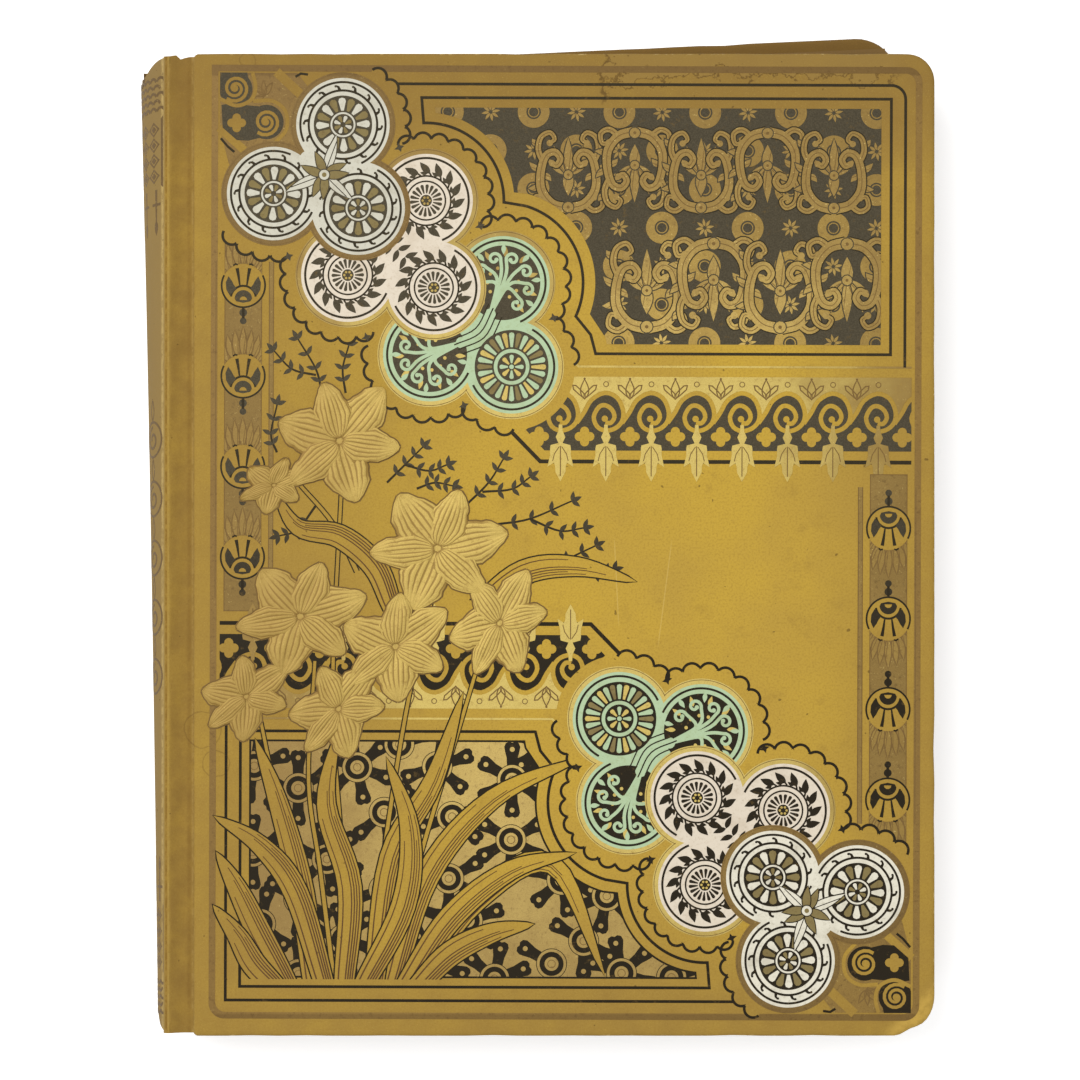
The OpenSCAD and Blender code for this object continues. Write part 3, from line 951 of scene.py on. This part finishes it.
def draw_trefoil(plate, lobes, pigment):
    """A gold-rimmed trefoil of one pigment, with a line inside its rim."""
    rim = "white_rim" if pigment == "white" else "gilt"
    for at in lobes:
        plate.lay(rim, disc(*at, rim_r))
    for at in lobes:
        plate.lay("crease", hoop(*at, rim_r - 0.5, 0.22))
    for at in lobes:
        plate.lay(rim, disc(*at, rim_r - 0.75))
    for at in lobes:
        plate.lay(pigment, disc(*at, pigment_r))
    plate.lay(pigment, [within(lobes, -2.9), lobes[1], lobes[2], lobes[0]])
    hub = within(lobes, 7.5)
    for at, open_half in zip(lobes, (46, 46, 72)):
        toward = heading(at, hub)
        plate.draw("line", arc(*at, pigment_r - 1.4, toward + open_half, toward + 360 - open_half), 0.75)
    return hub


def white_wheel(plate, at, turn):
    """A wheel of light and olive petals in a band with small hooks."""
    plate.lay("line", hoop(*at, 11.5, 0.75))
    for k in range(13):
        angle = turn + 25 + 310 * k / 12
        hook = [off(at, 11.6, angle), off(at, 12.7, angle + 1.5), off(at, 13.3, angle + 5)]
        plate.draw("line", hook, 1.1, 0.5)
        plate.lay("ink", disc(*off(at, 13.1, angle + 5.5), 0.42))
    plate.lay("ink", disc(*at, 9.8))
    for k in range(16):
        plate.lay("white" if k % 2 else "olive", spoke(*at, turn + 22.5 * k, 4.7, 9.1, 0.9, 2.5))
    plate.lay("white", hoop(*at, 3.9, 0.6))
    for k in range(8):
        plate.lay("olive" if k % 2 else "white", spoke(*at, turn + 45 * k, 0.9, 3.1, 0.5, 1.3))


def draw_white(plate):
    """A wheel in each lobe, and a flower of long leaves between them."""
    hub = draw_trefoil(plate, white_lobes, "white")
    for at in white_lobes:
        white_wheel(plate, at, heading(at, hub))
    for at, long, spread in zip(white_lobes, (14, 14, 12.5), (34, 34, 40)):
        toward = heading(hub, at)
        plate.edged("white", leaf(hub, toward, long, 3.2, 0.06), 0.35)
        plate.draw("line", [hub, off(hub, long - 2, toward)], 0.3)
        for side in (-1, 1):
            plate.edged("olive", leaf(hub, toward + side * spread, 8.2, 2.7, 0.15 * side), 0.35)
    plate.edged("white", disc(*hub, 1.7), 0.35)
    plate.lay("olive", disc(*hub, 0.8))


def draw_pink(plate):
    """Wreaths of small leaves round a sunburst."""
    hub = draw_trefoil(plate, pink_lobes, "pink")
    for at in pink_lobes:
        toward = heading(at, hub)
        for k in range(15):
            angle = toward + 24 * k
            plate.draw("line", [off(at, 8.5, angle), off(at, 11.6, angle + 13)], 0.6)
            plate.lay("ink", leaf(off(at, 9.2, angle + 3), angle + 60, 5.2, 2.4, -0.1))
            plate.lay("ink", leaf(off(at, 9.0, angle + 10), angle + 96, 2.4, 1.2, -0.1))
        plate.lay("line", hoop(*at, 8.3, 0.6))
        plate.lay("line", hoop(*at, 6.5, 0.55))
        for k in range(18):
            plate.lay("ink", spoke(*at, toward + 20 * k, 2.4, 5.5, 0.4, 1.15))
        plate.lay("ink", disc(*at, 2.0))
        for k in range(6):
            plate.lay("gilt", disc(*off(at, 1.15, 60 * k), 0.42))
    forward = heading(within(pink_lobes, 0), pink_lobes[2])
    for side in (-1, 1):
        for number in range(3):
            start = within(pink_lobes, 2 + 3.4 * number)
            plate.lay("ink", leaf(start, forward + side * 58, 4.6, 1.9, 0.15 * side))


def frond_lobe(plate, at, toward):
    """A fan of curling fronds on a dark ground, with small gold wedges."""
    plate.lay("ink", disc(*at, 12.7))
    base = off(at, 11.4, toward)
    for k in range(-4, 5):
        angle = toward + 180 + k * 35 + 17
        plate.lay("gilt", leaf(off(at, 8.6, angle), angle, 3.6, 1.5))
        plate.lay("gilt", disc(*off(at, 5.2, angle - 10), 0.6))
    for k in range(-3, 4):
        side = 1 if k > 0 else -1
        away = toward + 180 + k * 42
        curl = spiral(*off(at, 8.5, away), 2.15, 0.75, away - side * 100, away + side * 230)
        plate.draw("mint", through([base, off(at, 2.2, away), curl[0]], 6) + curl[1:], 1.2, 0.95)
        plate.lay("mint", disc(*curl[-1], 0.75))
        plate.lay("mint", leaf(off(at, 12.9, away + 21), away + 201, 3.4, 1.6))
    plate.lay("mint", disc(*base, 1.9))
    plate.lay("mint", hoop(*at, 12.95, 0.8))


def draw_mint(plate):
    """Two lobes of fronds and one sun wheel."""
    hub = draw_trefoil(plate, mint_lobes, "mint")
    for at in mint_lobes[:2]:
        frond_lobe(plate, at, heading(at, hub))
    for number in range(4):
        far = 1.5 + 2.1 * number
        bow = [within(mint_lobes, far, -9), within(mint_lobes, far + 3), within(mint_lobes, far, 9)]
        plate.draw("line", through(bow), 0.45)
    at = mint_lobes[2]
    plate.lay("ink", disc(*at, 12.4))
    for k in range(28):
        paint = "mint" if k % 2 else ("gilt", "olive")[k // 2 % 2]
        plate.lay(paint, spoke(*at, 360 / 28 * k, 6.6, 11.6, 0.8, 1.8))
    plate.lay("mint", hoop(*at, 5.4, 1.2))
    for k in range(8):
        plate.lay("gilt" if k % 2 else "mint", spoke(*at, 45 * k, 1.2, 4.1, 0.5, 1.5))
    plate.lay("mint", disc(*at, 0.8))


def draw_upper_panel(plate):
    """A dark ground powdered with stars and rings, and two rows of leafy scrolls."""
    plate.lay("ink", panel)
    for row in range(7):
        for column in range(12):
            at = (-40 + 14.4 * column, 144.6 - 12.9 * row)
            if (row + column) % 2:
                for angle in range(10, 370, 45):
                    plate.lay("title_gilt", leaf(off(at, 0.5, angle), angle, 2.7, 0.95), panel)
            else:
                plate.lay("old_gilt", hoop(*at, 3.9, 2.9), panel)
                plate.lay("old_gilt", hoop(*at, 1.75, 0.35), panel)
    for k in range(5):
        draw_lyre(plate, (0.5 + 22.3 * k, 125.2), 13.6, k % 2)
    for k in range(4):
        draw_lyre(plate, (27.0 + 22.4 * k, 86.6), 15.2, k % 2)


def draw_lyre(plate, at, reach, upside):
    """Two leafy scrolls back to back with a palmette between them."""
    turn = 180 if upside else 0
    sides = through(((0.03, -0.95), (0.40, -0.84), (0.66, -0.50), (0.68, -0.06), (0.56, 0.34), (0.34, 0.44),
                     (0.20, 0.28), (0.28, 0.12), (0.40, 0.16)), 4)
    low_curl = through(((0.34, -0.78), (0.62, -1.0), (0.84, -0.90), (0.80, -0.66), (0.64, -0.68)), 4)
    crown = through(((0.60, 0.16), (0.74, 0.48), (0.68, 0.80), (0.46, 0.92), (0.34, 0.76), (0.46, 0.66)), 4)
    lines = ((low_curl, 0.15, 0.09), (crown, 0.15, 0.09), (sides, 0.24, 0.13))
    sprays = ((0.68, -0.40, -28, 0.30), (0.70, -0.02, 22, 0.32), (0.64, -0.62, -150, 0.26),
              (0.58, 0.34, 118, 0.24), (0.62, -0.10, 205, 0.26), (0.74, 0.60, 30, 0.22))
    fan = [leaf((0, -0.12), 90 + 27 * step, 0.92 * (1 - 0.13 * abs(step)), 0.22)
           for step in (-2, 2, -1, 1, 0)]
    leaves = [placed(shape, at, turn, reach) for shape in fan + [leaf((0, -0.02), -90, 0.62, 0.26)]]
    for flip in (False, True):
        for x, y, angle, long in sprays:
            leaves.append(placed(leaf((x, y), angle, long, 0.15, 0.3), at, turn, reach, flip))
    for shape in leaves:
        plate.edged("title_gilt", shape, 0.38, clip=panel)
    for shape in leaves:
        plate.draw("crease", [shape[0], shape[5]], 0.3, 0.15, clip=panel)
    for edge in (True, False):
        for line, wide, narrow in lines:
            for flip in (False, True):
                path = placed(line, at, turn, reach, flip)
                if edge:
                    plate.draw("line", path, wide * reach + 0.8, narrow * reach + 0.8, clip=panel)
                else:
                    plate.draw("title_gilt", path, wide * reach, narrow * reach, clip=panel)
                    plate.lay("title_gilt", disc(*path[-1], 0.08 * reach), panel)
                    plate.draw("crease", path[1:-2], 0.3, 0.2, clip=panel)
    for y, radius in ((-0.92, 0.13), (-0.12, 0.11)):
        plate.edged("title_gilt", placed(disc(0, y, radius), at, turn, reach), 0.35, clip=panel)
        plate.lay("crease", placed(disc(0, y, 0.3 * radius), at, turn, reach), panel)


# Where the dark wheels lie in the photograph, and the pixel at the middle of the design
wheels = ((255, 767), (299, 789), (358, 768), (438, 767), (513, 780), (385, 813), (453, 817), (512, 840),
          (563, 880), (608, 896), (450, 879), (414, 907), (469, 921), (585, 941), (435, 964), (496, 979),
          (553, 964), (623, 973), (673, 977), (254, 853), (328, 860), (262, 925), (300, 900), (345, 940),
          (385, 890), (300, 975), (545, 745), (400, 745))
middle_px, middle_py, mm_per_px = 565.5, 542.8, 0.3357
wheel_petal = ((4.9, -1.8), (7.4, -1.9), (9.4, -2.4), (11.0, -2.7), (12.3, -2.2), (12.8, -1.0), (12.4, 0),
               (12.8, 1.0), (12.3, 2.2), (11.0, 2.7), (9.4, 2.4), (7.4, 1.9), (4.9, 1.8))


def draw_lower_panel(plate):
    """A gold ground with dark wheels, the upper panel turned half round."""
    ground = [(-x, -y) for x, y in panel]
    plate.lay("ground_gilt", ground)
    centres = [((px - middle_px) * mm_per_px, (middle_py - py) * mm_per_px) for px, py in wheels]
    taken = []
    for number, at in enumerate(centres):
        for k in range(6):
            angle = 60 * k + 30 + 11 * (number % 3 - 1)
            middle = off(at, 9.4, angle)
            if any(math.dist(middle, other) < 6.6 for other in centres if other != at):
                continue
            if any(math.dist(middle, other) < 4.0 for other in taken):
                continue
            taken.append(middle)
            plate.lay("ink", placed(wheel_petal, at, angle), ground)
            plate.lay("ground_gilt", disc(*off(at, 10.2, angle), 0.85), ground)
    for at in centres:
        plate.lay("ink", disc(*at, 5.2), ground)
        plate.lay("ground_gilt", disc(*at, 4.95), ground)
        plate.lay("line", hoop(*at, 3.2, 1.7), ground)
        plate.lay("crease", hoop(*at, 1.3, 0.25), ground)
    plate.draw("line", ground, 0.65, closed=True)


# The spray of flowers
above_foot = [(-130, -146.8), (130, -146.8), (130, 170), (-130, 170)]


def blade(plate, points, width):
    """A long leaf along a curve, outlined, and hatched on one half."""
    spine = through(points, 6)
    count = len(spine) - 1
    sides = {}
    for share in (-1, -0.78, -0.56, -0.34, -0.1, 0.62, 1):
        line = []
        for i, (x, y) in enumerate(spine):
            (ax, ay), (bx, by) = spine[max(i - 1, 0)], spine[min(i + 1, count)]
            long = math.hypot(bx - ax, by - ay)
            half = 0.5 * width * math.sin(math.pi * (0.25 + 0.75 * i / count)) ** 0.7 * share
            line.append((x - (by - ay) / long * half, y + (bx - ax) / long * half))
        sides[share] = line
    outline = sides[-1] + sides[1][-2::-1]
    plate.draw("line", outline, 0.95, clip=above_foot)
    plate.lay("bare", outline, above_foot)
    for number, (share, line) in enumerate(sides.items()):
        if abs(share) < 0.99:
            plate.draw("vein", line[:count - 2 - 2 * (number % 3)], 0.5, 0.25, clip=above_foot)


def stalk(plate, points):
    """A plain stem with dark sides."""
    path, width = through(points, 6), 2.2
    plate.draw("line", path, width, width * 0.8, clip=above_foot)
    plate.draw("bare", path, width - 0.8, width * 0.8 - 0.75, clip=above_foot)


def sprig(plate, points, pairs=4):
    """A fine dark stem with small paired leaves."""
    stem = through(points, 6)
    plate.draw("line", stem, 0.8, 0.5)
    for k in range(1, pairs + 1):
        i = int(k * (len(stem) - 2) / pairs)
        turn = heading(stem[i], stem[i + 1])
        for side in (-1, 1):
            plate.lay("ink", leaf(stem[i + 1], turn + side * 48, 3.4, 1.5, 0.15 * side))
    plate.lay("ink", leaf(stem[-1], turn, 3.8, 1.6))


# x, y, radius, turn, and how far the flower is tipped away: 1 is seen straight on
flowers = ((-107, -52, 17, 40, 0.8), (-98, 19, 13, 20, 0.7), (-22, -27, 20, 66, 0.8), (-76, -56, 19, 55, 0.8),
           (-89, -25, 23, 12, 0.85), (-57, -35, 21, 35, 0.85), (-43, -2, 24, 8, 0.9), (-76, 34, 23, 45, 0.9))
stalks = (
    ((-72, -149), (-75, -100), (-78, -50), (-75, 25)),
    ((-66, -149), (-60, -100), (-52, -50), (-42, -8)),
    ((-77, -149), (-82, -110), (-86, -80), (-84, -40)),
    ((-82, -149), (-92, -110), (-98, -80), (-103, -56)),
    ((-60, -149), (-48, -104), (-36, -64), (-26, -30)),
    ((-70, -10), (-78, 6), (-90, 20)),
)
blades = (
    ((-84, -150), (-88, -118), (-96, -88), (-104, -66)),
    ((-74, -150), (-72, -116), (-80, -88), (-76, -62)),
    ((-58, -150), (-46, -112), (-24, -86), (6, -72)),
    ((-52, -150), (-30, -120), (-4, -108), (14, -146)),
    ((-92, -150), (-102, -132), (-110, -116), (-117, -104)),
    ((-64, -150), (-58, -106), (-44, -80), (-34, -50)),
    ((-80, -150), (-90, -118), (-102, -102), (-118, -92)),
    ((-54, -150), (-38, -126), (-18, -110), (4, -104)),
    ((-96, -150), (-104, -142), (-110, -132), (-118, -122)),
    ((-50, -150), (-38, -138), (-24, -131), (-10, -128)),
    ((-68, -150), (-54, -122), (-52, -96), (-60, -72)),
    ((-30, -22), (-14, -10), (4, -8), (24, -13)),
    ((-58, -22), (-64, -8), (-76, 2), (-90, 5), (-98, 17)),
)
sprigs = (
    ((-82, 50), (-84, 58), (-90, 68)), ((-84, 56), (-92, 58), (-98, 64)), ((-74, 50), (-75, 58), (-73, 66)),
    ((-97, 30), (-99, 36), (-97, 46)), ((-34, 12), (-26, 20), (-21, 28)), ((-28, 17), (-18, 18), (-12, 22)),
    ((-24, 6), (-12, 8), (2, 14)), ((-12, 8), (-2, 4), (6, 5)), ((-60, 20), (-54, 26), (-48, 32)),
    ((-54, 26), (-46, 24), (-40, 26)), ((-50, 18), (-44, 20), (-38, 19)), ((-84, 12), (-90, 4), (-96, 2)),
    ((-12, -14), (0, -6), (10, -1)), ((0, -6), (10, -10), (16, -9)))

# How finely a petal is divided
petal_rows, petal_columns = 14, 33
# How far each flower lies over the one before, and its upper petals over the lower ones
flower_step, upper_lift = 0.03, 0.22


def petal_grid(size, turn, wide):
    """One petal as rows of (x, y, height, groove), from its claw to its pointed tip; groove is the share of
    painted shade in its hollows and at its edges.
    """
    grid = []
    for r in range(petal_rows + 1):
        u = r / petal_rows
        half = size * (0.03 + 0.5 * wide * math.sin(math.pi * u ** 0.8) ** 0.7)
        row = []
        for c in range(petal_columns):
            v = -1 + 2 * c / (petal_columns - 1)
            waves = 0.07 * math.sin(13 * u + turn + 2 * v) + 0.035 * math.sin(31 * u + 2 * turn)
            ruffle = 1 + abs(v) * waves
            side = v * half * ruffle + 0.10 * size * u * u * math.sin(1.7 * turn)
            rib = 0.5 - 0.5 * math.cos(v * 8 * math.pi + 0.8 * math.sin(5 * u + turn))
            fold = 0.16 * math.sin(3.5 * v + 4 * u + turn)
            height = 0.14 + (0.36 + fold) * math.sin(math.pi * u) ** 0.6 * (1 - v ** 4)
            ribbed = 0.12 * (1 - rib) * smooth(0.02, 0.3, u) * (1 - v ** 6)
            height += ribbed - 0.14 * math.exp(-(v / 0.08) ** 2)
            edge = max(smooth(0.9, 1.0, abs(v)), smooth(0.08, 0.0, u))
            x, y = placed([(size * (0.05 + 0.95 * u), side)], turn=turn)[0]
            row.append((x, y, max(height, 0.1), max(rib * (1 - 0.5 * smooth(0.6, 0.98, u)), edge)))
        grid.append(row)
    return grid


def petals_of(size, turn):
    """The six petals of one flower, three below and three above."""
    outer = [petal_grid(size, turn + 120 * k, 0.64) for k in range(3)]
    return outer + [petal_grid(0.94 * size, turn + 60 + 120 * k, 0.52) for k in range(3)]


def tipped(points, squash, turn):
    """Flower points drawn closer together along one direction."""
    return placed([(x, y * squash) for x, y in placed(points, turn=-turn)], turn=turn)


def design():
    """The whole blocked design of the front cover."""
    plate = Plate()
    half_w, half_h, band_w = 119.3, 160.1, 2.2
    plate.lay("frame", [rounded(half_w, half_h, 5.2), rounded(half_w - band_w, half_h - band_w, 3.4)])
    for turned in (False, True):
        plate.turned = turned
        draw_column(plate)
        draw_corner(plate)
        draw_band(plate)
        draw_rules(plate)
    plate.turned = False
    draw_upper_panel(plate)
    draw_lower_panel(plate)
    for points in sprigs:
        sprig(plate, points)
    for points in stalks:
        stalk(plate, points)
    for points in blades:
        blade(plate, points, 8.0)
    for x, y, size, turn, squash in flowers:
        for grid in petals_of(size, turn):
            # A thin dark line round each petal: the gap between petals, with painted shade at their raised edges.
            rim = [row[0] for row in grid] + grid[-1] + [row[-1] for row in grid[::-1]]
            flat = tipped([p[:2] for p in rim], squash, turn)
            plate.draw("crease", moved(flat, x, y), 0.8)
        plate.lay("petal_gilt", disc(x, y, 0.3 * size))
    for turned in (False, True):
        plate.turned = turned
        draw_chain(plate)
        draw_mint(plate)
        draw_pink(plate)
        draw_white(plate)
    plate.turned = False
    return plate


# Paints of the design, whose upper and lower half meet between these heights
half_low, half_high = -0.05, 0.05


def make_ink(name, thinnest, most):
    """Black blocking ink, thinner and greyer over the weave in the upper half."""
    look = Look(name, rough=0.62, shine=0.12)
    y = look.axes()[1]
    weave, rubbed = look.noise(0.4, 2), look.noise(2.2, 4, 0.7)
    thin = look.times(look.span(y, half_low, 0.04, 0.05, most), look.span(weave, 0.35, 0.7, 0.6, 1.0))
    look.base(thin, (36, 29, 16), thinnest)
    look.tint(look.span(rubbed, 0.58, 0.72, 0.0, 0.45), (112, 88, 44))
    return look.done(weave, 0.05, 0.4)


def make_gilt(name, bright, dull, worn, fade=(0.42, 0.95), flecks=0.5):
    """Gold leaf, bright in the middle of the cover and duller and browner towards its rims: partly a painted
    reflection of the light, partly wear.
    """
    look = Look(name, rough=0.5, metal=0.2, shine=0.2)
    x, y = look.axes()[:2]
    patch, speck, grain = look.noise(13, 4), look.noise(1.6, 4, 0.7), look.noise(0.35, 2)
    # Painted reflection, partly wear: the gold's tone runs from bright in the middle of the cover to dull at its
    # rims.
    away = 0.0
    for axis, middle, reach in ((x, 0.008, 0.118), (y, -0.025, 0.170)):
        from_middle = look.sums("ABSOLUTE", look.sums("SUBTRACT", axis, middle))
        away = look.sums("MAXIMUM", away, look.sums("DIVIDE", from_middle, reach))
    away = look.sums("MULTIPLY_ADD", look.sums("SUBTRACT", patch, 0.5), 0.5, away)
    look.base(look.span(away, *fade), bright, dull)
    look.tint(look.span(speck, 0.52, 0.72, 0.0, 0.6), worn)
    look.tint(look.span(grain, 0.45, 0.7, 0.0, 0.3), worn)
    look.tint(look.span(look.noise(1.0, 3, 0.8), 0.62, 0.70, 0.0, flecks), (222, 196, 122))
    look.tint(look.span(look.sums("ABSOLUTE", y), 0.1570, 0.1580, 0.0, 0.45), (92, 68, 32))
    # Painted shade in the raised petals' grooves and along their edges, which also draws their veins.
    look.tint(look.span(look.attribute("groove", "Fac"), 0.55, 0.95, 0.0, 0.85), (130, 98, 42))
    return look.done(speck, 0.06, 0.5)


def make_pigment(name, colour, soiled, upper=None):
    """A matt printed pigment, soiled in specks and patches, and duller in the upper half."""
    look = Look(name, rough=0.7)
    y = look.axes()[1]
    patch, weave, speck = look.noise(8, 4), look.noise(0.8, 2), look.noise(1.6, 4, 0.75)
    look.base(look.span(y, half_low, half_high), colour, upper or colour)
    look.tint(look.span(patch, 0.45, 0.8, 0.0, 0.5), soiled)
    look.tint(look.span(speck, 0.5, 0.72, 0.0, 0.5), soiled)
    look.tint(look.span(weave, 0.5, 0.8, 0.0, 0.2), soiled)
    return look.done(weave, 0.04, 0.4)


# Each paint's height over the cloth in millimetres, then what its material is made with
inks = {
    "ink": (0.03, "blocking_ink", (84, 76, 58), 1.0),
    "line": (0.04, "line_ink", (62, 54, 36), 0.7),
}
gilts = {
    "frame": (0.05, "browned_frame", (150, 120, 60), (128, 99, 50), (96, 70, 34), (0.5, 1.3), 0.15),
    "bronze": (0.05, "rubbed_bronze", (150, 122, 64), (126, 100, 50), (98, 74, 36), (0.5, 1.2), 0.35),
    "corner_bronze": (0.05, "corner_bronze", (150, 120, 60), (124, 97, 50), (92, 68, 34), (0.5, 1.2), 0.4),
    "white_rim": (0.08, "worn_rim", (146, 118, 62), (122, 96, 50), (88, 66, 34), (0.2, 0.9), 0.3),
    "gilt": (0.09, "gold_leaf", (206, 182, 100), (144, 116, 60), (160, 130, 62)),
    "old_gilt": (0.08, "darkened_gold", (196, 164, 82), (144, 116, 58), (110, 84, 42), (0.3, 0.95)),
    "ground_gilt": (0.05, "ground_gold", (200, 172, 98), (150, 122, 68), (130, 102, 56), (0.2, 0.95), 0.3),
    "title_gilt": (0.10, "title_gold", (210, 180, 100), (150, 122, 64), (114, 88, 46), (0.3, 0.9), 0.7),
    "petal_gilt": (0.10, "petal_gold", (204, 176, 94), (172, 142, 74), (154, 122, 58), (0.3, 1.05), 0.4),
}
pigments = {
    "vein": (0.04, "vein_ink", (88, 58, 26), (112, 78, 36)),
    "crease": (0.06, "gilt_crease", (120, 92, 44), (100, 74, 32)),
    "mint": (0.07, "mint_pigment", (178, 200, 160), (156, 168, 118)),
    "pink": (0.07, "pink_pigment", (224, 211, 190), (190, 172, 146)),
    "white": (0.07, "white_pigment", (228, 222, 202), (172, 164, 142), (206, 202, 184)),
    "olive": (0.08, "olive_pigment", (132, 116, 70), (104, 82, 42)),
}
paints = {}
for make, kinds in ((make_ink, inks), (make_gilt, gilts), (make_pigment, pigments)):
    for paint, (height, *rest) in kinds.items():
        paints[paint] = (height, make(*rest))

design_at, design_lean = (0.5, 0.67), -0.2


def on_front(x, y, height):
    """A place in the design, laid on the front cover's face."""
    return (*placed([(x, y)], design_at, design_lean)[0], face_z + height)


for paint, triangles in design().solve().items():
    height, stuff = paints[paint]
    thing = film(f"front_{paint}", triangles, height, stuff, on_front)
    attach(thing, "front_cover")


# Ornament on the spine, drawn flat: across is minus the distance from the front fold, up is y
spine_wide = 31.0


def lozenges(plate, low, high, rows=4, columns=4):
    """A framed panel of lozenges, each a line round a small one."""
    frame_line = [(-2, low), (2 - spine_wide, low), (2 - spine_wide, high), (-2, high)]
    plate.draw("spine_gilt", frame_line, 0.9, closed=True)
    wide, tall = (spine_wide - 6) / columns, (high - low - 2) / rows
    for r in range(rows):
        for c in range(columns):
            cx, cy = -3 - wide * (c + 0.5), low + 1 + tall * (r + 0.5)
            for size, paint in ((0.48, "spine_gilt"), (0.34, "bare"), (0.22, "spine_gilt")):
                across, up = size * wide, size * tall
                plate.lay(paint, [(cx - across, cy), (cx, cy - up), (cx + across, cy), (cx, cy + up)])


def spine_design():
    """Generic borders, lattices and scroll roundels down the spine."""
    plate = Plate()
    for side in (1, -1):
        low_edge, high_edge = sorted((20 * side, 160 * side))
        for row in range(5):
            cy = side * (145.8 + 2.5 * row)
            for k in range(8 - row % 2):
                cx = -2.6 - 3.7 * (k + 0.5 * (row % 2))
                plate.draw("spine_gilt", arc(cx, cy, 1.75, low_edge, high_edge), 0.9)
        plate.draw("spine_gilt", [(-1.5, side * 158.6), (1.5 - spine_wide, side * 158.6)], 0.8)
        lozenges(plate, *sorted((side * 121, side * 144)))
        for k in range(4):
            cx = -4.9 - 7.1 * k
            plate.draw("spine_gilt", [(cx, side * 120), (cx, side * 108.5)], 1.1, 0.6)
            plate.draw("spine_gilt", [(cx - 2.2, side * 115), (cx + 2.2, side * 115)], 0.9)
            plate.lay("spine_gilt", leaf((cx, side * 109.6), -90 * side, 5.0, 1.8))
    for k in range(5):
        cy = -44 + 20 * k
        for cx in (-8.4, -22.6):
            plate.lay("spine_gilt", hoop(cx, cy, 5.9, 0.8))
            plate.draw("spine_gilt", spiral(cx, cy, 4.2, 0.9, 90, 560), 0.9)
            plate.draw("spine_gilt", leaf((cx, cy + 6.4), 90, 7.2, 2.2), 0.5, closed=True)
    return plate


def on_spine(x, y, height):
    """A place in the spine's ornament, laid on its cloth."""
    return spine_place(-x / spine_wide, y, -height)


spine_paint = make_gilt("spine_bronze", (116, 89, 46), (108, 83, 43), (92, 69, 35), (0.5, 1.3))
thing = film("spine_ornament", spine_design().solve()["spine_gilt"], 0.05, spine_paint, on_spine)
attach(thing, "text_block")


def raised_petal(grid, at, turn, squash, lift):
    """One petal in relief, as a thin sheet from the cover's face up."""

    def place(r, c):
        x, y, height = grid[r][-1 - c][:3]
        spot = on_front(*moved(tipped([(x, y)], squash, turn), *at)[0], height + lift)
        return spot, (*spot[:2], face_z - petal_sunk)

    return sheet(petal_rows + 1, petal_columns, place)


# The raised petals, and for each point the share of painted shade in the petals' grooves.
parts, grooves = [], []
for number, (x, y, size, turn, squash) in enumerate(flowers):
    for layer, grid in enumerate(petals_of(size, turn)):
        lift = flower_step * number + (upper_lift if layer > 2 else 0)
        parts.append(raised_petal(grid, (x, y), turn, squash, lift))
        grooves += 2 * [p[3] for row in grid for p in row[::-1]]
petals = add_mesh("gilt_petals", *joined(parts), paints["petal_gilt"][1])
groove_layer = petals.data.attributes.new("groove", "FLOAT", "POINT")
groove_layer.data.foreach_set("value", grooves)
soften(petals, 50)
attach(petals, "front_cover")

# Finishes for the pieces that stay as the CAD made them
slots_of = {part["node"]: part["material_slot"] for part in frame["record"]["subparts"]}
for name, node in frame["nodes"].items():
    node.data.materials.clear()
    node.data.materials.append(node_stuffs.get(slots_of.get(name), node_stuffs["card"]))

# Stage: a white ground lit evenly from all sides, and one soft lamp at the upper left
ground_reach, ground_drop = 3.0, 0.0002
ground_tone, ground_glow, sky_strength = (0.9, 0.9, 0.9, 1), 0.5, 0.65
lamp_at, camera_at = (-0.55, 0.45, 1.5), (-0.00806, 0.0016, 1.4385)

floor_mesh = bpy.data.meshes.new("floor")
corners = [(x * ground_reach, y * ground_reach, 0) for x, y in ((-1, -1), (1, -1), (1, 1), (-1, 1))]
floor_mesh.from_pydata(corners, [], [(0, 1, 2, 3)])
floor = add_object("floor", floor_mesh)
floor.location.z = -ground_drop

# The ground glows a little for the camera alone
white = bpy.data.materials.new("white_ground")
white.use_nodes = True
tree = white.node_tree
tree.nodes.clear()
matt = tree.nodes.new("ShaderNodeBsdfDiffuse")
matt.inputs["Color"].default_value = ground_tone
glow = tree.nodes.new("ShaderNodeEmission")
glow.inputs["Color"].default_value = (1, 1, 1, 1)
glow.inputs["Strength"].default_value = ground_glow
added = tree.nodes.new("ShaderNodeAddShader")
chosen = tree.nodes.new("ShaderNodeMixShader")
seen = tree.nodes.new("ShaderNodeLightPath")
out = tree.nodes.new("ShaderNodeOutputMaterial")
for output, socket in ((matt.outputs[0], added.inputs[0]), (glow.outputs[0], added.inputs[1]),
                       (seen.outputs["Is Camera Ray"], chosen.inputs[0]),
                       (matt.outputs[0], chosen.inputs[1]), (added.outputs[0], chosen.inputs[2]),
                       (chosen.outputs[0], out.inputs[0])):
    tree.links.new(output, socket)
floor_mesh.materials.append(white)

world = bpy.data.worlds.new("soft_day")
bpy.context.scene.world = world
world.use_nodes = True
for number, value in enumerate(((1, 1, 1, 1), sky_strength)):
    world.node_tree.nodes["Background"].inputs[number].default_value = value

lamp_data = bpy.data.lights.new("soft_lamp", "AREA")
lamp_data.shape = "DISK"
lamp_data.size = 1.1
lamp_data.energy = 14
lamp = add_object("soft_lamp", lamp_data)
lamp.location = lamp_at
lamp.rotation_euler = (-Vector(lamp_at)).to_track_quat("-Z", "Y").to_euler()

camera_data = bpy.data.cameras.new("camera")
camera_data.lens = 139
camera_data.sensor_width = 36
camera = add_object("camera", camera_data)
camera.location = camera_at
bpy.context.scene.camera = camera
bpy.context.scene.view_settings.view_transform = "Standard"
